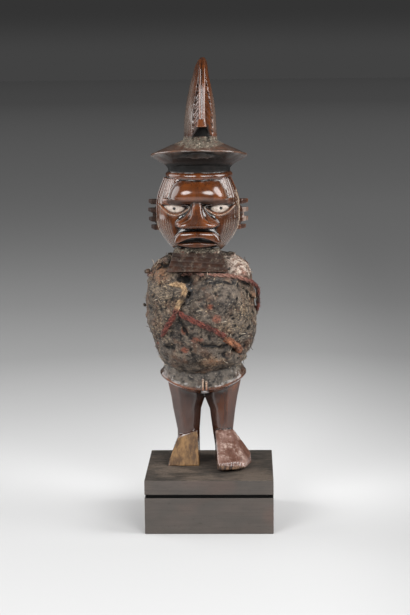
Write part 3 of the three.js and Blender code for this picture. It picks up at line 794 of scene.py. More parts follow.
def from_crest(x, y, front_reach, back_reach):
    """How far a place lies from the middle of the crest's foot, 1 on the edge of an oval round it."""
    return np.hypot((x - FILL_X) / FILL_WIDE, (y - FILL_Y) / np.where(y < FILL_Y, front_reach, back_reach))


def foot_fill(x, y, z):
    """The mound of hardened fill round the crest's foot."""
    away = from_crest(x, y, 36.0, 30.0)
    ripple = 0.3 * np.sin(0.7 * x) * np.sin(0.6 * y + 1)
    return (z - 271.4 - 10 * (1 - np.minimum(away, 1.4) ** 4)) * 0.75 - ripple


niche_outline = [(-11.2, 281.0), (2.0, 280.4), (-0.4, 291.3), (-5.4, 291.3)]
wood.add((-30, -33, 268), (17, 42, 290), lambda x, y, z: np.maximum(foot_fill(x, y, z), 270 - z), 1.2)
wood.add((-26, -25, 268), (14, 41, 343), crest, 0.7)
wood.add((-10, -26, 286), (4, 14, 342), keel, 0.4)
wood.add((-12, -28, 287), (6, -4, 300), keel_lip, 0.5)
wood.cut((-14, -32, 279), (6, -2, 293),
         lambda x, y, z: np.maximum(outline_distance(niche_outline, x, z), y + 5), 0.4)


def crusted(x, y, z):
    """Where old libation and dirt have dried in a grainy skin on the carving."""
    fill = ramp(z, 274, 3) * ramp(z, 285, -3) * ramp(from_crest(x, y, 34.0, 28.0), 1.05, -0.3)
    on_beard = ramp(z, 206, -1.5) * (z > 187) * (y < -12) * (0.3 + 0.5 * ramp(z, 201.5, 2))
    return np.maximum(fill, on_beard)


def resinous(x, y, z):
    """Where the hips are coated with the mass's own dark, shiny resin, but for the two rubbed ribs."""
    ribs = np.maximum.reduce([np.clip(1.9 - np.abs(x - rib_x) / 0.8, 0, 1) * (z > low - 1) * (z < high + 1)
                              for rib_x, low, high in RIBS])
    over_lip = below_lip_line(x, z) - 100.6
    bared = 0.55 * ramp(np.abs(x - LIP_MIDDLE), 22, 8) * ramp(over_lip, 8, -5)
    return np.clip(over_lip / 1.4, 0, 1) * (z < 130) * (1 - ribs * (y < 0)) * (1 - bared)


def soot_and_shade_amount(x, y, z):
    """How dark to paint the carving: soot and old oil on the hat's band and the beard, and painted shade in
    the niche, under the brim, on the brow's chamfer, at the lower lip and over the ears.
    """
    under = np.hypot(x - BAND_X, y - HAT_Y)
    band = ramp(z, 258, 1.2) * (z < 276) * ramp(under, 27.5, -3) * (z < 268 + 0.2 * under)
    brim_floor = 265.6 + 0.45 * (under - 27) - 0.154 * (y - HAT_Y)
    # Painted shade under the brim, heaviest in the middle.
    shade = np.clip(1.3 - np.abs(x + 5) / 42, 0, 0.95) * (z > 260) * np.clip((brim_floor - z) / 1.5 + 1, 0, 1)
    # Painted shade inside the niche.
    in_niche = np.clip((2.6 - outline_distance(niche_outline, x, z)) / 2, 0, 1)
    niche = in_niche * (y > -18.6) * (y < 2) * (z > 280.6)
    # Painted shade over the ears, heavier on the viewer's left.
    on_ears = ramp(np.abs(x - FACE_X), 28, 3) * (z > 212) * (z < 242) * (y > 1)
    ears = np.where(x < FACE_X, 0.85, 0.3) * on_ears
    on_beard = 0.78 * (z > 188) * (z < 204.6) * (y < -13)
    # Painted shade on and below the lower lip.
    on_lip = 0.5 * (z > 204) * (z < 209.6) * (y < -19)
    # Painted shade on the brow's downward-facing chamfer.
    brow_span = (z > BROW_LOW - 0.6) * np.clip(BROW_HIGH + 0.4 - z, 0, 1)
    under_brow = 0.6 * brow_span * (np.abs(x - FACE_X) < 27) * (y < -14)
    parts = np.broadcast_arrays(band, shade * (z < 278), niche, ears, on_beard, on_lip, under_brow)
    return np.clip(np.maximum.reduce(parts), 0, 1)


# Tool marks are slow waves over the whole carving, and the crust stands on it in grains.
wood.distance += 0.15 * wood.cloud(9.0, 11) + 0.08 * wood.cloud(3.2, 12)
GRAINY_PARTS = [  # the hips, the fill at the crest's foot and the beard
    ((-40, -20, 98), (30, 38, 130)), ((-30, -33, 272), (18, 40, 288)), ((-32, -34, 187), (18, -12, 207)),
]
for low, high in GRAINY_PARTS:
    where, x, y, z = wood.part(low, high)
    grains = 0.36 * wood.cloud(1.3, 13, where) + 0.34 * wood.cloud(2.9, 14, where)
    clods = grains + 0.5 * wood.cloud(4.6, 15, where)
    wood.distance[where] -= np.where(z < 135, clods * 1.15 * resinous(x, y, z), grains * crusted(x, y, z))
where, x, y, z = wood.part((-46, -33, 256), (33, 44.5, 277))
soot_grains = 0.3 * wood.cloud(1.6, 16, where) + 0.35 * wood.cloud(4.0, 17, where)
wood.distance[where] -= soot_grains * soot_and_shade_amount(x, y, z)
figure = wood.surface("figure_carving", WOOD_TRIANGLES)
places = corners_of(figure)
px, py, pz = places.T
half = spread(FACE, pz)[0]
off_middle = np.abs(px - FACE_X)
off_line = np.abs(off_middle - half + 0.1 - 0.25 * np.sin(0.9 * pz)) / np.where(px > FACE_X, 0.5, 0.7)
along_jaw = ramp(pz, 246, -2) * (pz > 200) * np.where(px > FACE_X, 1, ramp(pz, 226, -5))
on_lids = np.minimum(*(np.abs(outline_distance(eye_outline(side), px, pz) - 1.5) for side in (-1, 1)))
rib_tops = np.maximum.reduce([
    np.clip(1.6 - np.abs(px - rib_x) / 0.7, 0, 1) * np.clip((pz - low - 1) / 3, 0, 1) * (pz < high + 0.6)
    for rib_x, low, high in RIBS])
# What the finish reads at each point of the carving, from 0 where it is missing to 1
figure_marks = {
    "edge": wood.read(wood.softened(1.2), places) / 0.5,
    "hollow": -wood.read(wood.softened(4.2), places) / 1.4,
    "crust": crusted(px, py, pz),
    "resin": resinous(px, py, pz),
    "soot_and_shade": soot_and_shade_amount(px, py, pz),
    "worn_toe": np.clip((61.4 + 0.33 * (px + 24) - pz) / 1.2, 0, 1) * (py < 6.4) * (px < -4) * (px > -30.6),
    "worn_foot": ramp(pz, 66.2, -1.5) * (py < 5.6) * (px > 2.5),
    "end_grain": np.clip((46.4 - pz - 0.1 * (px - 6)) / 0.8, 0, 1) * (px > 2.5) * (py < -18),
    "low": ramp(pz, 98, -4),
    # Painted shade on the inner faces of the legs, between them.
    "shade_between_legs": ramp(np.abs(px + 5.4), 10.5, -4) * ramp(pz, 100, -4) * (pz > 60) * (py > 1),
    # Pale lines along the jaw's rim, the lower lids, the hatching and the rib tops: partly dust, partly
    # painted highlight where these edges catch the light.
    "dust_and_highlight_lines": np.maximum.reduce([
        np.clip(1.5 - off_line, 0, 1) * along_jaw * (py < 2.0) * (py > -7),
        0.45 * np.clip(1.4 - on_lids / 0.5, 0, 1) * np.clip(EYE_CORNER + 0.5 - pz, 0, 1) * (py < -8),
        0.35 * hatching(px, pz) * (py < -1.5) * (pz < 253),
        0.8 * rib_tops * (py < -12),
    ]),
    # Painted highlight on the peg ends of the viewer's right ear, which face the light.
    "painted_peg_highlights": ramp(px, 24.6, 1.5) * (pz > 220) * (pz < 234) * (py < 9),
    # Painted shade on the outer cheeks, away from the middle of the face.
    "shaded_cheeks": ramp(off_middle, 13, 6) * ramp(pz, 231, -4) * (pz > 199) * (py < 2),
    # Grey dust on the crest's flanks and the brim's top, with painted sheen of the side light mixed in.
    "dust_and_sheen": ramp(pz, 284, 4) * ramp(np.abs(px - KEEL_X), 5, 3) + 0.75 * ramp(pz, 268, 2) * (pz < 284),
}
for name, values in figure_marks.items():
    mark(figure, name, values)

carved_wood, tree, shader = start_finish(
    "handled_figure_wood", Specular_IOR_Level=0.3, Coat_Weight=1.0, Coat_IOR=1.75, Coat_Roughness=0.16)


def kept(tree, name):
    """A number kept at the points of a piece."""
    return node(tree, "ShaderNodeAttribute", {}, attribute_name=name).outputs["Fac"]


edge, hollow, crust, resin, soot_and_shade, worn_toe, worn_foot, end_grain, low_down = (
    kept(tree, name) for name in
    ("edge", "hollow", "crust", "resin", "soot_and_shade", "worn_toe", "worn_foot", "end_grain", "low"))
blotches = mottle(tree, 60, (1, 1, 0.5), detail=6)
fine_grain = mottle(tree, 300, (1, 1, 0.1), detail=6, roughness=0.65)
streaks = mottle(tree, 210, (1, 1, 0.12), detail=5, roughness=0.7, place=(0.1, 0.4, 0.2))
grit = mottle(tree, 1000, detail=4, roughness=0.7)
clots = mottle(tree, 260, detail=5, roughness=0.65)
specks = mottle(tree, 500, detail=2, place=(0.3, 0.3, 0.1))
toe_colour = layered(tree, paint(80, 56, 34), [
    (between(tree, streaks, 0.34, 0.66), (140, 106, 66)),
    (between(tree, fine_grain, 0.5, 0.7, 0, 0.5), (72, 50, 32)),
    (between(tree, edge, -0.1, -0.5, 0, 0.5), (56, 39, 26)),
])
grain_ends = layered(tree, paint(40, 24, 17), [(between(tree, streaks, 0.4, 0.6), (112, 84, 62))])
foot_colour = layered(tree, paint(98, 66, 54), [
    (between(tree, blotches, 0.38, 0.62), (150, 122, 112)),
    (between(tree, streaks, 0.5, 0.66, 0, 0.7), (196, 174, 162)),
    (between(tree, streaks, 0.46, 0.34, 0, 0.7), (74, 44, 32)),
    (between(tree, edge, 0.0, -0.35, 0, 0.75), (60, 34, 26)),
    (end_grain, grain_ends),
])
dirt = between(tree, times(tree, crust, between(tree, clots, 0.36, 0.58, 0.3, 1)), 0.2, 0.5)
crust_colour = layered(tree, paint(50, 45, 38), [
    (between(tree, grit, 0.4, 0.62), (126, 116, 102)),
    (between(tree, specks, 0.58, 0.68, 0, 0.85), (188, 176, 158)),
    (between(tree, clots, 0.56, 0.66, 0, 0.6), (104, 62, 50)),
])
coated = times(tree, resin, between(tree, hollow, 0.55, 0.2, 0.3, 1))
resin_colour = layered(tree, paint(24, 20, 18), [
    (between(tree, clots, 0.35, 0.62), (104, 95, 86)),
    (between(tree, specks, 0.6, 0.7, 0, 0.8), (150, 138, 126)),
])
colour = layered(tree, paint(60, 31, 15), [
    (between(tree, blotches, 0.3, 0.72), (120, 64, 27)),
    (between(tree, fine_grain, 0.42, 0.7, 0, 0.6), (38, 18, 11)),
    (times(tree, low_down, 0.6), (52, 30, 24)),
    # Painted shade on the outer cheeks.
    (times(tree, kept(tree, "shaded_cheeks"), 0.5), (44, 26, 17)),
    # Dust and painted sheen on the crest and brim.
    (times(tree, kept(tree, "dust_and_sheen"), between(tree, streaks, 0.35, 0.62, 0.3, 0.95)), (104, 91, 82)),
    # Lighter on the edges: partly wear, partly painted highlight.
    (between(tree, edge, 0.4, 0.95, 0, 0.4), (150, 92, 56)),
    (between(tree, hollow, 0.1, 0.7, 0, 0.95), (12, 7, 5)),
    (between(tree, edge, -0.1, -0.5, 0, 0.85), (12, 7, 5)),
    # Painted shade between the legs.
    (times(tree, kept(tree, "shade_between_legs"), 0.6), (34, 19, 14)),
    (worn_toe, toe_colour),
    (worn_foot, foot_colour),
    # Soot and old oil on the band and beard, and painted shade in the niche, under the brim and brow, at the
    # lower lip and over the ears.
    (times(tree, soot_and_shade, between(tree, blotches, 0.2, 0.5, 0.75, 1)), (13, 11, 9)),
    # Dust and painted highlight along the lit edges and lines.
    (times(tree, kept(tree, "dust_and_highlight_lines"), between(tree, grit, 0.38, 0.55, 0.15, 1.0)), (190, 170, 150)),
    # Painted highlight on the right ear's peg ends.
    (times(tree, kept(tree, "painted_peg_highlights"), between(tree, streaks, 0.38, 0.58, 0.1, 0.7)), (160, 140, 128)),
    (dirt, crust_colour),
    (coated, resin_colour),
])
tree.links.new(colour, shader.inputs["Base Color"])
roughness = between(tree, fine_grain, 0.35, 0.7, 0.15, 0.27)
wet_resin = times(tree, coated, between(tree, specks, 0.4, 0.6, 0.6, 1))
for amount, value in ((worn_toe, 0.5), (worn_foot, 0.34), (end_grain, 0.6), (soot_and_shade, 0.62),
                      (wet_resin, 0.42), (dirt, 0.75)):
    roughness = made_by(tree, "ShaderNodeMix", {0: amount, 2: roughness, 3: value})
tree.links.new(roughness, shader.inputs["Roughness"])
dull = dirt
for amount in (soot_and_shade, times(tree, coated, 0.6), worn_toe, end_grain, times(tree, worn_foot, 0.2),
               times(tree, low_down, 0.15)):
    dull = made_by(tree, "ShaderNodeMath", {0: dull, 1: amount}, operation="MAXIMUM")
tree.links.new(between(tree, dull, 0.0, 1.0, 0.9, 0.0), shader.inputs["Coat Weight"])
gritty = made_by(tree, "ShaderNodeMath", {0: dirt, 1: coated}, operation="MAXIMUM")
gritty = made_by(tree, "ShaderNodeMath", {0: gritty, 1: 0.9, 2: 0.1}, operation="MULTIPLY_ADD")
relief(tree, shader, [(fine_grain, 0.12, 0.0004), (times(tree, grit, gritty), 0.5, 0.0005)])
finish_piece(figure, carved_wood, ["carved_figure"])


# Each eye is an almond of pale shell or bone, ground to shape, with a drilled pupil. Painted shade darkens
# its corners and sides, where the lids and the brow shade it, and leaves the middle pale.
EYE_RINGS, EYE_STEPS = 14, 48
PUPILS = {-1: (-23.7, 233.3), 1: (9.8, 233.3)}
PUPIL_RADIUS = 0.95
WHITES = {-1: (-24.5, 8.0), 1: (9.2, 6.4)}  # the middle and half width of the pale part that the painted shade leaves

inlay_white, tree, shader = start_finish("pale_eye_inlay", Specular_IOR_Level=0.5, Roughness=0.35)
stain = mottle(tree, 420, detail=5)
colour = layered(tree, paint(202, 188, 178), [
    (between(tree, stain, 0.35, 0.7), (146, 132, 118)),
    # Painted shade over the eye's corners and sides.
    (kept(tree, "corner_shade"), (24, 16, 12)),
])
colour = blend(tree, between(tree, kept(tree, "from_pupil"), 0.9, 1.25), paint(8, 7, 7), colour)
tree.links.new(colour, shader.inputs["Base Color"])
for side, name in ((-1, "left"), (1, "right")):
    pupil = np.array(PUPILS[side])
    outline = eye_outline(side, 0.25, EYE_STEPS)
    points, near, corner_shade = [], [], []
    white_x, white_half = WHITES[side]
    for i in range(EYE_RINGS + 1):
        share = (i / EYE_RINGS) ** 1.3
        for corner in outline:
            spot = pupil + (corner - pupil) * share
            gap = np.hypot(*(spot - pupil)) / PUPIL_RADIUS
            sunk = 1.2 * (gap < 1.0) + 0.8 * share ** 6
            y = float(face_front(spot[0], np.array(spot[1]))) + 0.45 + sunk - 0.45 * (1 - share ** 2)
            points.append((spot[0] * MM, y * MM, spot[1] * MM))
            near.append(gap)
            bared = np.hypot((spot[0] - white_x) / white_half, (spot[1] - 233.1) / 2.7)
            corner_shade.append(min(1.0, max(0.0, (bared - 0.92) / 0.12)))
    faces = []
    for i in range(EYE_RINGS):
        for j in range(EYE_STEPS):
            a, b = i * EYE_STEPS + j, i * EYE_STEPS + (j + 1) % EYE_STEPS
            faces.append((a, b, b + EYE_STEPS, a + EYE_STEPS))
    back = len(points)
    for corner in outline:
        y = float(face_front(corner[0], np.array(corner[1]))) + 2.2
        points.append((corner[0] * MM, y * MM, corner[1] * MM))
        near.append(9)
        corner_shade.append(1)
    rim_start = EYE_RINGS * EYE_STEPS
    for j in range(EYE_STEPS):
        a, b = rim_start + j, rim_start + (j + 1) % EYE_STEPS
        faces.append((a, b, back + (j + 1) % EYE_STEPS, back + j))
    faces.append(tuple(range(back + EYE_STEPS - 1, back - 1, -1)))
    eye = piece_from(f"eye_shell_{name}", points, faces, inlay_white, [f"eye_inlay_{name}"])
    mark(eye, "from_pupil", near)
    mark(eye, "corner_shade", corner_shade)
    tidy = bmesh.new()
    tidy.from_mesh(eye.data)
    bmesh.ops.remove_doubles(tidy, verts=tidy.verts, dist=1e-6)
    bmesh.ops.recalc_face_normals(tidy, faces=tidy.faces)
    tidy.to_mesh(eye.data)
    tidy.free()


# The medicine bundle is a mass of earth, resin and plant matter, packed round the body and
# bound on with cord. It has dried lumpy and grainy, with a flatter round packet in front.
BUNDLE = [
    [108.5, -22, 12, -10.6, 26], [112, -27, 16, -13.4, 28], [116, -31.4, 20, -17.6, 30.4],
    [119, -34.2, 23.2, -21.6, 32], [121.5, -35.4, 25, -25.4, 33], [124, -35.8, 26, -28.6, 34],
    [130, -39, 30.5, -32, 35.6], [138, -41, 33, -34, 36.8], [146, -44.2, 34.2, -35, 37.6],
    [156, -45.6, 34.6, -35, 37.8],
    [168, -45.1, 34, -34, 37.4], [180, -43.6, 31.5, -31.5, 35.6], [188, -41, 29.8, -27, 33],
    [193, -37.5, 26.5, -20, 30], [197, -30, 19, -12, 25],
]
BUNDLE_MIDDLE = 4.0
BUNDLE_POWER = 2.4
BUNDLE_STEP, BUNDLE_TRIANGLES = 0.5, 192000
# Lumps: [turn from the front in degrees, height, radius, how far each stands out]
LUMPS = [
    [14, 168, 22, 2.6], [64, 191, 11, 3], [0, 123, 13, 2.0], [57, 131.5, 6, -4.5],
    [-48, 176, 14, 1.6], [-8, 184.5, 7, -3.2], [150, 160, 24, 2], [-140, 150, 20, 1.6],
]
# Finer forms that only the finish has: [X, height, radius across, radius up, how far out]
FRONT_FORMS = [
    [-16, 183.5, 6, 3.4, -7], [-2, 186, 10, 2.4, -1.6], [20, 133.5, 5, 3.6, -4.2], [-13, 172, 2.4, 13, -1.8],
    [-21, 128, 10, 7, 1.4], [10, 126, 12, 5, 1.2], [21, 123, 8, 5, 2.2], [-30, 171, 10, 12, 1.4],
    [2, 140, 12, 3, 1.1], [29, 168, 4, 9, -2.4], [-28, 134, 6, 3, -1.8], [-31, 137.5, 2.6, 2.4, 2.2],
    [26, 181, 3, 5, -2.6], [-33, 186, 7, 5, 1.8], [8, 172, 9, 7, 1.0], [7, 133.5, 9, 2.4, 2.0],
]


def lumps(turn, z):
    """How far the mass stands out from its plain form."""
    height = 0.5 * np.sin(5 * turn + z / 7) + 0.4 * np.sin(8 * turn - z / 5)
    for degrees, middle, radius, out in LUMPS:
        gap = turn - math.radians(degrees)
        away = np.hypot(35 * np.arctan2(np.sin(gap), np.cos(gap)), z - middle) / radius
        share = ramp(away, 0.65, 0.5)
        height = height + out * (1 - share * share * (3 - 2 * share))
    return height


def on_bundle(degrees, z, lift):
    """A point on the mass: turn is measured from the front towards the viewer's right."""
    turn = math.radians(degrees)
    left, right, front, back = (float(v) for v in spread(BUNDLE, np.array(z), smooth=False))
    across = math.copysign(abs(math.sin(turn)) ** (2 / BUNDLE_POWER), math.sin(turn))
    along = math.copysign(abs(math.cos(turn)) ** (2 / BUNDLE_POWER), math.cos(turn))
    reach = BUNDLE_MIDDLE - front if along > 0 else back - BUNDLE_MIDDLE
    out = lift + float(lumps(turn, z)) * (1 - 0.8 * abs(math.sin(turn)) ** 6)
    x = (left + right) / 2 + (right - left) / 2 * across + math.sin(turn) * out
    y = BUNDLE_MIDDLE - reach * along - math.cos(turn) * out
    return Vector((x, y, z))


def packed_mass(x, y, z):
    left, right, front, back = spread(BUNDLE, z)
    middle_x, half = (left + right) / 2, (right - left) / 2
    reach = np.where(y < BUNDLE_MIDDLE, BUNDLE_MIDDLE - front, back - BUNDLE_MIDDLE)
    turn = np.arctan2((x - middle_x) / half, -(y - BUNDLE_MIDDLE) / reach)
    turn = np.arctan2(np.sign(np.sin(turn)) * np.abs(np.sin(turn)) ** (BUNDLE_POWER / 2),
                      np.sign(np.cos(turn)) * np.abs(np.cos(turn)) ** (BUNDLE_POWER / 2))
    side = off_ring(x - middle_x, y - BUNDLE_MIDDLE, half, reach, BUNDLE_POWER)
    side = side - lumps(turn, z) * (1 - 0.8 * np.abs(np.sin(turn)) ** 6)
    for form_x, form_z, wide, tall, out in FRONT_FORMS:
        side = side - out * bump_at(x, z, (form_x, form_z), (wide, tall)) * (y < 4)
    edge_of_packet = np.hypot((x - 6.5) / 26, (z - 159) / 23)
    side = side + 1.7 * np.exp(-((edge_of_packet - 1) / 0.07) ** 2) * (y < 0)
    return np.maximum(side, beyond(z, BUNDLE[0][0], BUNDLE[-1][0]))


# Small knobs on the outline at the viewer's left: [X, Y, height, radius]
KNOBS = [
    [-47.3, 6, 160.5, 2.4], [-44.0, -6, 186.5, 2.6], [-40.5, -16, 184, 2.0], [-29, -14, 195, 3.2],
    [-36, -12, 191, 2.4],
]


def knob(middle, radius):
    def shape(x, y, z):
        return np.sqrt((x - middle[0]) ** 2 + (y - middle[1]) ** 2 + (z - middle[2]) ** 2) - radius
    return shape


mass = Mass((-53, -45, 104), (42, 46, 203), BUNDLE_STEP)
mass.add((-60, -60, 90), (60, 60, 210), packed_mass, 0.5)
for *middle, radius in KNOBS:
    mass.add(np.array(middle) - 6, np.array(middle) + 6, knob(middle, radius), 1.5)
pitted = mass.cloud(2.1, 25)
mass.distance += (1.3 * mass.cloud(6.5, 21) + 1.3 * mass.cloud(3.4, 22) + 0.7 * mass.cloud(1.8, 23)
                  + 0.4 * mass.cloud(1.0, 24) + 1.6 * np.clip(pitted - 0.4, 0, 1))
bundle = mass.surface("bundle_mass", BUNDLE_TRIANGLES)
places = corners_of(bundle)
bx, by, bz = places.T


def patch(middle_x, middle_z, wide, tall, front=True):
    """How much a point of the mass lies in an oval seen from the front."""
    inside = np.clip(1.6 - 1.3 * np.hypot((bx - middle_x) / wide, (bz - middle_z) / tall), 0, 1)
    return inside * ((by < 4) if front else 1)


# Camwood red and tan crumbs: [X, height, half width, half height]
RED_SPOTS = [
    [-16.5, 147.5, 2.6, 2.6], [-7.5, 141.5, 4.5, 2.4], [2, 165.5, 2.4, 2.4], [6.5, 157, 3.4, 3],
    [-16.5, 133.5, 3, 2.4],
]
TAN_PATCHES = [[2, 124, 10, 5], [-32, 174, 12, 18], [26, 158, 8, 16], [-33, 148, 8, 9], [14, 150, 9, 6]]
tan_here = np.maximum.reduce([patch(*spot) for spot in TAN_PATCHES])
# What the crust's finish reads at each point, in the same way
bundle_marks = {
    "hollow": -mass.read(mass.softened(1.6), places) / 0.9,
    "red": np.maximum.reduce([patch(*spot) for spot in RED_SPOTS]),
    "tan": tan_here,
    "pad": ramp(bz, 183, 4) * np.clip((bx - 11 - 0.3 * (197 - bz)) / 7, 0, 1) * ramp(by, 10, -6),
    "blue": patch(-13.5, 177, 3.2, 10),
    "rusty": np.maximum.reduce([
        patch(-35, 187, 8, 7, False), patch(34, 172, 5, 14, False), patch(4, 124, 9, 4)]),
    # Painted shade in two deep pits, one in the dark gap under the beard.
    "shaded_pits": np.maximum(patch(-16.5, 183.6, 6.5, 3.6), patch(19.5, 133.5, 4.5, 3)),
}
for name, values in bundle_marks.items():
    mark(bundle, name, values)

bundle_crust, tree, shader = start_finish("dried_earth_and_resin", Specular_IOR_Level=0.35)
hollow = kept(tree, "hollow")
lumpy = mottle(tree, 110, detail=6, roughness=0.65)
grains = mottle(tree, 620, detail=5, roughness=0.75)
chaff = mottle(tree, 480, (1, 1, 2.2), detail=4, roughness=0.7, distortion=0.8, place=(0.3, 0.5, 0.2))
stains = mottle(tree, 85, detail=4, place=(0.7, 0.2, 0.4))
clumps = mottle(tree, 290, (1, 1, 1.3), detail=5, roughness=0.7, distortion=0.4, place=(0.1, 0.9, 0.6))
pad_colour = layered(tree, paint(124, 96, 82), [
    (between(tree, clumps, 0.4, 0.62), (204, 188, 174)),
    (between(tree, stains, 0.5, 0.62, 0, 0.5), (158, 104, 88)),
    (between(tree, grains, 0.54, 0.64, 0, 0.9), (52, 44, 38)),
])
colour = layered(tree, paint(28, 23, 21), [
    (between(tree, lumpy, 0.36, 0.64), (104, 93, 83)),
    (between(tree, stains, 0.5, 0.66, 0, 0.6), (100, 70, 52)),
    (between(tree, clumps, 0.54, 0.66, 0, 0.75), (138, 122, 104)),
    (between(tree, clumps, 0.46, 0.34, 0, 0.8), (26, 22, 20)),
    (between(tree, chaff, 0.57, 0.68, 0, 0.8), (156, 144, 130)),
    (times(tree, kept(tree, "tan"), between(tree, chaff, 0.5, 0.62, 0, 0.75)), (168, 146, 118)),
    (times(tree, kept(tree, "blue"), 0.55), (84, 88, 92)),
    (times(tree, kept(tree, "rusty"), between(tree, clumps, 0.4, 0.58, 0.1, 0.8)), (134, 96, 70)),
    (times(tree, kept(tree, "red"), between(tree, grains, 0.38, 0.55, 0.15, 0.9)), (134, 76, 56)),
    (times(tree, kept(tree, "pad"), between(tree, clumps, 0.3, 0.5, 0.35, 1)), pad_colour),
    (between(tree, grains, 0.46, 0.36, 0, 0.85), (14, 12, 11)),
    (between(tree, hollow, 0.0, 0.36, 0, 0.97), (9, 7, 7)),
    # Painted shade in the pits.
    (between(tree, kept(tree, "shaded_pits"), 0.2, 0.8, 0, 0.9), (12, 10, 9)),
])
tree.links.new(colour, shader.inputs["Base Color"])
tree.links.new(between(tree, lumpy, 0.3, 0.7, 0.42, 0.85), shader.inputs["Roughness"])
relief(tree, shader, [(chaff, 0.5, 0.0008), (grains, 0.6, 0.0006)])
finish_piece(bundle, bundle_crust, ["medicine_bundle"])


# Crumbs of resin and shell and short plant fibres cling to the mass. They were kneaded into
# it while it was soft, and stand out where its skin has worn.
def nodes_that(name, numbers):
    """A geometry node tree with a geometry in and out, named numbers, a seed and a material."""
    tree = bpy.data.node_groups.new(name, "GeometryNodeTree")
    tree.interface.new_socket("Surface", in_out="INPUT", socket_type="NodeSocketGeometry")
    for number in numbers:
        tree.interface.new_socket(number, in_out="INPUT", socket_type="NodeSocketFloat")
    tree.interface.new_socket("Seed", in_out="INPUT", socket_type="NodeSocketInt")
    tree.interface.new_socket("Finish", in_out="INPUT", socket_type="NodeSocketMaterial")
    tree.interface.new_socket("Made", in_out="OUTPUT", socket_type="NodeSocketGeometry")
    return tree, tree.nodes.new("NodeGroupInput").outputs


def give_back(tree, geometry, material):
    """Ends a tree with plain geometry in its material."""
    real = node(tree, "GeometryNodeRealizeInstances", {"Geometry": geometry})
    painted = node(tree, "GeometryNodeSetMaterial", {"Geometry": real.outputs[0], "Material": material})
    tree.links.new(painted.outputs[0], tree.nodes.new("NodeGroupOutput").inputs[0])


def scattered(tree, given, shape, mask, tilt):
    """The shape strewn over a surface where the mask is, turned at random and marked with a tone."""
    where = made_by(tree, "GeometryNodeInputNamedAttribute", {"Name": mask}, data_type="FLOAT")
    dense = made_by(tree, "ShaderNodeMath", {0: where, 1: given["Density"]}, operation="MULTIPLY")
    strewn = node(tree, "GeometryNodeDistributePointsOnFaces", {
        "Mesh": given["Surface"], "Density": dense, "Seed": given["Seed"]})
    spin = made_by(tree, "FunctionNodeRandomValue", {
        0: (-tilt, -tilt, 0), 1: (tilt, tilt, 6.283), "Seed": 3}, data_type="FLOAT_VECTOR")
    turned = made_by(tree, "FunctionNodeRotateRotation", {
        "Rotation": strewn.outputs["Rotation"], "Rotate By": spin}, rotation_space="LOCAL")
    size = node(tree, "FunctionNodeRandomValue", {2: 0.45, 3: 1.3, "Seed": 5}, data_type="FLOAT").outputs[1]
    placed = made_by(tree, "GeometryNodeInstanceOnPoints", {
        "Points": strewn.outputs[0], "Instance": shape, "Rotation": turned, "Scale": size})
    tone = node(tree, "FunctionNodeRandomValue", {2: 0.0, 3: 1.0, "Seed": 7}, data_type="FLOAT").outputs[1]
    return made_by(tree, "GeometryNodeStoreNamedAttribute", {
        "Geometry": placed, "Name": "tone", "Value": tone}, data_type="FLOAT", domain="INSTANCE")


def run_nodes(name, source, tree, inputs):
    """Runs a node tree on an object and keeps what it makes as a plain mesh."""
    modifier = source.modifiers.new("build", "NODES")
    modifier.node_group = tree
    sockets = {item.name: item.identifier for item in tree.interface.items_tree if item.in_out == "INPUT"}
    for key, value in inputs.items():
        modifier[sockets[key]] = value
    evaluated = source.evaluated_get(bpy.context.evaluated_depsgraph_get())
    mesh = bpy.data.meshes.new_from_object(evaluated)
    source.modifiers.clear()
    mesh.name = name
    made = bpy.data.objects.new(name, mesh)
    bpy.context.scene.collection.objects.link(made)
    return made


def crumb_tree():
    tree, given = nodes_that("clinging_crumbs", ["Density", "Crumb size"])
    pebble = made_by(tree, "GeometryNodeMeshIcoSphere", {"Radius": given["Crumb size"], "Subdivisions": 1})
    squashed = made_by(tree, "GeometryNodeTransform", {"Geometry": pebble, "Scale": (1.25, 0.9, 0.55)})
    give_back(tree, scattered(tree, given, squashed, "crumbly", 0.5), given["Finish"])
    return tree


def fibre_tree():
    tree, given = nodes_that("clinging_fibres", ["Density", "Length", "Thickness"])
    bent = made_by(tree, "ShaderNodeCombineXYZ", {0: given["Length"], 2: 0.0})
    rise = made_by(tree, "ShaderNodeVectorMath", {0: bent, 1: (0.5, 0.16, 0)}, operation="MULTIPLY")
    rise = made_by(tree, "ShaderNodeVectorMath", {0: rise, 1: (0, 0.0007, 0.0011)}, operation="ADD")
    arc = made_by(tree, "GeometryNodeCurveQuadraticBezier", {
        "Resolution": 5, "Start": (0, 0, 0), "Middle": rise, "End": bent})
    section = made_by(tree, "GeometryNodeCurvePrimitiveCircle", {
        "Resolution": 3, "Radius": given["Thickness"]})
    hair = made_by(tree, "GeometryNodeCurveToMesh", {
        "Curve": arc, "Profile Curve": section, "Fill Caps": True})
    give_back(tree, scattered(tree, given, hair, "fibrous", 0.25), given["Finish"])
    return tree


def toned_finish(name, dark, middle, light):
    material, tree, shader = start_finish(name, Specular_IOR_Level=0.25, Roughness=0.8)
    tone = kept(tree, "tone")
    colour = layered(tree, paint(*dark), [
        (between(tree, tone, 0.0, 0.55), middle), (between(tree, tone, 0.5, 1.0), light)])
    tree.links.new(colour, shader.inputs["Base Color"])
    return material


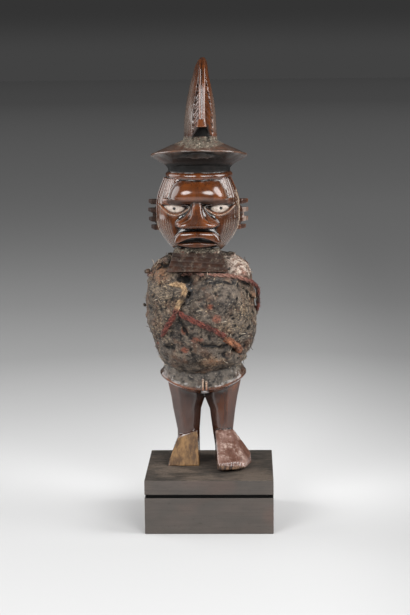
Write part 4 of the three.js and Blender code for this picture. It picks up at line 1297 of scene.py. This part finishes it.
upright = ramp(bz, 112, 3) * ramp(bz, 199, -3)
thinned = np.clip(0.5 + 1.6 * mass.read(mass.cloud(5.0, 26), places), 0, 1)
mark(bundle, "crumbly", upright * (0.12 + 0.8 * tan_here * thinned))
hairy = np.maximum(patch(-31, 168, 13, 20), patch(28, 155, 9, 24))
mark(bundle, "fibrous", upright * thinned * (0.3 + 0.7 * hairy))
crumb_finish = toned_finish("crumbs_of_resin_and_shell", (28, 22, 19), (84, 70, 58), (166, 146, 120))
fibre_finish = toned_finish("dry_plant_fibres", (54, 42, 35), (116, 99, 84), (194, 180, 160))
CRUMB_SIZE = 0.46 * MM
FIBRE_LENGTH, FIBRE_THICKNESS = 5.6 * MM, 0.17 * MM
strewn = [
    ("clinging_crumbs", crumb_tree(), crumb_finish, {"Density": 380000.0, "Crumb size": CRUMB_SIZE}),
    ("clinging_fibres", fibre_tree(), fibre_finish, {
        "Density": 210000.0, "Length": FIBRE_LENGTH, "Thickness": FIBRE_THICKNESS}),
]
for name, tree, finish, sizes in strewn:
    piece = run_nodes(name, bundle, tree, {**sizes, "Finish": finish, "Seed": 4})
    finish_piece(piece, finish, [], smooth=False)


# The binding cords are plant fibre twisted in three strands, pressed into the mass. They are
# bound on all the way: the neck cord stands a little off the mass at the viewer's right.
NECK_RADIUS, FRONT_RADIUS, KNOT_RADIUS = 1.5, 2.0, 2.5
TAN_ENDS, RED_STARTS = 0.027, 0.031  # metres along the left cord, where camwood has dyed the rest
# Each path: [turn from the front in degrees, height, how far it stands off the mass]
NECK_CORD = [
    [172, 166], [140, 160], [112, 153], [97, 157, 0.8], [90, 166, 1.4], [84, 173, 2.4], [73, 178.4, 1.6],
    [62, 181, 1.0], [43, 184.6, 0.2], [25, 186.6, -0.2], [9, 187, -1.4], [-8, 187.6, -1.8],
    [-30, 187, -2.4], [-54, 186.4, -1.8], [-70, 185.6, -0.8], [-78, 184.6, -0.2], [-104, 181],
    [-130, 177], [-158, 172], [-178, 168],
]
LEFT_CORD = [
    [-29, 179.4, -1.8], [-20, 180.6], [-12.8, 179, 0.4], [-11.2, 174.6, 0.8], [-13.2, 170.6, 0.8],
    [-16.7, 167.4, 0.6], [-19.7, 162.2, 0.4], [-23.7, 157.2], [-33, 150], [-40, 145.4, -0.6],
    [-47, 141.6, -3], [-62, 136, -3.4], [-80, 131, -3], [-110, 129, -1], [-150, 130, -0.4],
    [-200, 131, -0.4], [-250, 130, -1.4], [-282, 127.5, -2.6],
]
RIGHT_CORD = [
    [-17, 161.2, -1.8], [-13.4, 159.6], [-6.8, 157.1, 0.4], [0.1, 153.5, 0.4], [6.3, 150.2, 0.2],
    [12.4, 147.6, 0.1], [18.7, 144.7, -0.2], [23, 142.4, -1.8],
]
CORD_KNOT = [
    [22, 141.4, -1.8], [27, 139.9, 0.4], [34, 137, 0.8], [42, 133.9, 0.2], [48, 131.6, -0.6], [53, 130.2, -2],
]


def path_curve(name, points):
    """A smooth curve object through points in millimetres."""
    curve = bpy.data.curves.new(name, "CURVE")
    curve.dimensions = "3D"
    spline = curve.splines.new("BEZIER")
    spline.bezier_points.add(len(points) - 1)
    for knot, point in zip(spline.bezier_points, points):
        knot.co = point * MM
        knot.handle_left_type = knot.handle_right_type = "AUTO"
    made = bpy.data.objects.new(name, curve)
    bpy.context.scene.collection.objects.link(made)
    return made


def laid_cord_tree():
    """Sweeps three strands along a path, twists them as a cord is laid and lets fibres stand out."""
    tree, given = nodes_that("laid_cord", [
        "Strand radius", "Strand spread", "Twist", "Thin until", "Full from", "Spacing", "Fray", "Hairs"])
    even = made_by(tree, "GeometryNodeResampleCurve", {
        "Curve": given["Surface"], "Length": given["Spacing"]}, mode="LENGTH")
    along = node(tree, "GeometryNodeSplineParameter", {}).outputs["Length"]
    measured = made_by(tree, "GeometryNodeStoreNamedAttribute", {
        "Geometry": even, "Name": "run", "Value": along}, data_type="FLOAT", domain="POINT")
    wobble = node(tree, "ShaderNodeTexNoise", {"Scale": 150.0, "Detail": 3.0}).outputs["Fac"]
    turned = made_by(tree, "ShaderNodeMath", {0: along, 1: given["Twist"]}, operation="MULTIPLY")
    turned = made_by(tree, "ShaderNodeMath", {0: wobble, 1: 2.4, 2: turned}, operation="MULTIPLY_ADD")
    tilted = made_by(tree, "GeometryNodeSetCurveTilt", {"Curve": measured, "Tilt": turned})
    fuller = made_by(tree, "ShaderNodeMapRange", {
        "Value": along, "From Min": given["Thin until"], "From Max": given["Full from"],
        "To Min": 0.46, "To Max": 1.0})
    fuller = made_by(tree, "ShaderNodeMath", {0: wobble, 1: 0.3, 2: fuller}, operation="MULTIPLY_ADD")
    tilted = made_by(tree, "GeometryNodeSetCurveRadius", {"Curve": tilted, "Radius": fuller})
    strands = tree.nodes.new("GeometryNodeJoinGeometry")
    for k in range(3):
        turn = 2 * math.pi * k / 3
        circle = made_by(tree, "GeometryNodeCurvePrimitiveCircle", {
            "Resolution": 9, "Radius": given["Strand radius"]})
        sideways = made_by(tree, "ShaderNodeVectorMath", {
            0: (math.cos(turn), math.sin(turn), 0), "Scale": given["Strand spread"]}, operation="SCALE")
        moved = made_by(tree, "GeometryNodeTransform", {"Geometry": circle, "Translation": sideways})
        tree.links.new(moved, strands.inputs[0])
    swept = made_by(tree, "GeometryNodeCurveToMesh", {
        "Curve": tilted, "Profile Curve": strands.outputs[0], "Fill Caps": True})
    rough = node(tree, "ShaderNodeTexNoise", {"Scale": 700.0, "Detail": 4.0}).outputs["Fac"]
    lift = made_by(tree, "ShaderNodeMath", {0: rough, 1: -0.5}, operation="ADD")
    lift = made_by(tree, "ShaderNodeMath", {0: lift, 1: given["Fray"]}, operation="MULTIPLY")
    outward = made_by(tree, "GeometryNodeInputNormal", {})
    offset = made_by(tree, "ShaderNodeVectorMath", {0: outward, "Scale": lift}, operation="SCALE")
    frayed = made_by(tree, "GeometryNodeSetPosition", {"Geometry": swept, "Offset": offset})
    loose = node(tree, "GeometryNodeDistributePointsOnFaces", {
        "Mesh": frayed, "Density": given["Hairs"], "Seed": given["Seed"]})
    hair = made_by(tree, "GeometryNodeMeshCone", {
        "Vertices": 3, "Radius Top": 0.0, "Radius Bottom": 0.00013, "Depth": 0.0022})
    lean = made_by(tree, "FunctionNodeRandomValue", {
        0: (-1.3, -1.3, 0), 1: (1.3, 1.3, 6.283)}, data_type="FLOAT_VECTOR")
    leant = made_by(tree, "FunctionNodeRotateRotation", {
        "Rotation": loose.outputs["Rotation"], "Rotate By": lean}, rotation_space="LOCAL")
    size = node(tree, "FunctionNodeRandomValue", {2: 0.3, 3: 1.0, "Seed": 5}, data_type="FLOAT").outputs[1]
    hairs = made_by(tree, "GeometryNodeInstanceOnPoints", {
        "Points": loose.outputs[0], "Instance": hair, "Rotation": leant, "Scale": size})
    both = tree.nodes.new("GeometryNodeJoinGeometry")
    tree.links.new(frayed, both.inputs[0])
    tree.links.new(hairs, both.inputs[0])
    give_back(tree, both.outputs[0], given["Finish"])
    return tree


def cord_finish(name, near, far=None, changes=(0.0, 1.0)):
    """Dark, light and frayed colours of a cord, and those of its far end if it changes on the way."""
    material, tree, shader = start_finish(name, Specular_IOR_Level=0.25, Roughness=0.85, Sheen_Weight=0.1)
    patches = mottle(tree, 170, detail=5)
    fibres = mottle(tree, 1500, detail=3, roughness=0.8)
    earthed = mottle(tree, 95, detail=3, place=(0, 0.4, 0))
    share = between(tree, kept(tree, "run"), *changes)
    dark, light, loose = (blend(tree, share, paint(*a), paint(*b)) for a, b in zip(near, far or near))
    colour = layered(tree, dark, [
        (between(tree, patches, 0.38, 0.6), light),
        (between(tree, fibres, 0.5, 0.68, 0, 0.7), loose),
        (between(tree, fibres, 0.46, 0.34, 0, 0.8), (24, 15, 13)),
        (between(tree, earthed, 0.55, 0.68, 0, 0.85), (52, 44, 38)),
    ])
    tree.links.new(colour, shader.inputs["Base Color"])
    relief(tree, shader, [(fibres, 0.6, 0.0004)])
    return material


RED = (64, 28, 25), (118, 60, 50), (176, 124, 108)
DUSTY = (84, 52, 46), (142, 100, 86), (206, 176, 158)
TAN = (112, 84, 58), (196, 162, 122), (232, 210, 178)
ORANGE = (92, 50, 34), (164, 104, 72), (218, 172, 136)
red_to_dusty = cord_finish("camwood_red_cord", RED, DUSTY, (0.085, 0.1))
tan_to_red = cord_finish("tan_to_red_cord", TAN, RED, (TAN_ENDS, RED_STARTS))
plain_red, frayed_orange = cord_finish("short_red_cord", RED), cord_finish("frayed_orange_cord", ORANGE)
cords = [
    ("neck_binding", NECK_CORD, NECK_RADIUS, red_to_dusty, "red_cord", "neck_cord"),
    ("left_binding", LEFT_CORD, FRONT_RADIUS, tan_to_red, "tan_cord", "left_cord"),
    ("right_binding", RIGHT_CORD, FRONT_RADIUS, plain_red, "red_cord", "right_cord"),
    ("binding_knot", CORD_KNOT, KNOT_RADIUS, frayed_orange, "knot_cord", "cord_knot"),
]
laid_cord = laid_cord_tree()
for name, rows, radius, finish, slot, stands_for in cords:
    places = [on_bundle(turn, height, radius * 0.35 + sum(off)) for turn, height, *off in rows]
    path = path_curve(name + "_path", places)
    thin, full = (TAN_ENDS, RED_STARTS) if name == "left_binding" else (-0.002, -0.001)
    strand = 0.5 * radius * MM
    piece = run_nodes(name, path, laid_cord, {
        "Strand radius": strand, "Strand spread": strand, "Twist": 0.62 / (radius * MM),
        "Thin until": thin, "Full from": full, "Spacing": 0.45 * MM, "Fray": 0.9 * MM, "Hairs": 1500000.0,
        "Seed": 2, "Finish": finish})
    finish_piece(piece, finish, [stands_for])
    bpy.data.objects.remove(path)


# The studio: a pale floor painted darker with distance and towards the viewer's right, as painted shade where
# the light falls off, big soft lamps round the front, stronger on the viewer's right, and the camera where
# the photographer stood.
# Greys of the floor, painted darker with distance where the light falls off: (metres from the plinth's
# middle, level from 0 to 255)
FLOOR_TONES = [(0.04, 232), (0.39, 194), (0.64, 167), (1.0, 157), (2.5, 150), (10.0, 116), (30.0, 96)]
floor_paint, tree, shader = start_finish("pale_studio_floor", Roughness=0.9, Specular_IOR_Level=0.1)
where = node(tree, "ShaderNodeTexCoord", {}).outputs["Object"]
distance = node(tree, "ShaderNodeVectorMath", {0: where}, operation="LENGTH").outputs["Value"]
tone = paint(FLOOR_TONES[0][1], FLOOR_TONES[0][1], FLOOR_TONES[0][1])
for (near, _), (far, level) in zip(FLOOR_TONES, FLOOR_TONES[1:]):
    share = node(tree, "ShaderNodeMapRange", {"Value": distance, "From Min": near, "From Max": far})
    tone = blend(tree, share.outputs[0], tone, paint(level, level, level))
sideways, forward = node(tree, "ShaderNodeSeparateXYZ", {0: where}).outputs[:2]
# Painted shade: the floor darkens towards the viewer's right.
darker_right = times(tree, between(tree, sideways, 0.06, 0.24, 0, 0.24), between(tree, distance, 2.6, 1.0))
tone = layered(tree, tone, [
    (between(tree, forward, 0.1, -0.08), (203, 203, 203)),
    (darker_right, (0, 0, 0)),
    (between(tree, forward, -0.2, -1.1), (70, 70, 70)),
])
tree.links.new(tone, shader.inputs["Base Color"])
bpy.ops.mesh.primitive_plane_add(size=40)
floor = bpy.context.object
floor.name = "studio_floor"
floor.data.materials.append(floor_paint)


def lamp(name, turn, rise, distance, size, watts):
    """A soft lamp: turn from the front towards the viewer's right, and rise, in degrees."""
    light = bpy.data.lights.new(name, "AREA")
    light.shape, light.size, light.size_y, light.energy = "ELLIPSE", size[0], size[1], watts
    made = bpy.data.objects.new(name, light)
    turn, rise = math.radians(turn), math.radians(rise)
    outward = Vector((math.sin(turn) * math.cos(rise), -math.cos(turn) * math.cos(rise), math.sin(rise)))
    made.location = Vector((0, 0, 0.2)) + outward * distance
    made.rotation_euler = outward.to_track_quat("Z", "Y").to_euler()
    bpy.context.scene.collection.objects.link(made)


lamp("front_left", -34, 26, 1.3, (0.8, 0.74), 10)
lamp("front_right", 27, 26, 1.3, (0.8, 0.74), 10)
lamp("side_left", -102, 20, 1.3, (1.2, 1.3), 9)
lamp("side_right", 80, 28, 1.3, (0.9, 1.2), 14)
ceiling = bpy.data.lights.new("ceiling", "SUN")
ceiling.energy, ceiling.angle = 0.92, math.radians(120)
dome = bpy.data.objects.new("ceiling", ceiling)
dome.visible_glossy = False
bpy.context.scene.collection.objects.link(dome)
world = bpy.data.worlds.new("studio_air")
world.use_nodes = True
tree = world.node_tree
skyward = node(tree, "ShaderNodeTexCoord", {}).outputs["Generated"]
upward = node(tree, "ShaderNodeSeparateXYZ", {0: skyward}).outputs[2]
air = blend(tree, between(tree, upward, 0.0, 0.03), paint(66, 66, 66), paint(52, 52, 52))
tree.links.new(air, tree.nodes["Background"].inputs["Color"])
bpy.context.scene.world = world
bpy.context.scene.view_settings.view_transform = "Standard"

# The place, the turns and the lens that bring the plinth's edges over those in the photograph
CAMERA_PLACE = (0.03033, -1.08246, 0.34194)
CAMERA_YAW, CAMERA_PITCH, CAMERA_ROLL = math.radians(1.751), math.radians(9.589), math.radians(-0.581)
FOCAL_LENGTH_IN_FRAMES = 2.4354
lens = bpy.data.cameras.new("photographer")
lens.sensor_fit = "VERTICAL"
lens.sensor_height = 36.0
lens.lens = FOCAL_LENGTH_IN_FRAMES * lens.sensor_height
camera = bpy.data.objects.new("photographer", lens)
level = math.cos(CAMERA_PITCH)
forward = Vector((-math.sin(CAMERA_YAW) * level, math.cos(CAMERA_YAW) * level, -math.sin(CAMERA_PITCH)))
facing = forward.to_track_quat("-Z", "Y").to_matrix().to_4x4()
camera.matrix_world = Matrix.Translation(CAMERA_PLACE) @ facing @ Matrix.Rotation(CAMERA_ROLL, 4, "Z")
bpy.context.scene.collection.objects.link(camera)
bpy.context.scene.camera = camera
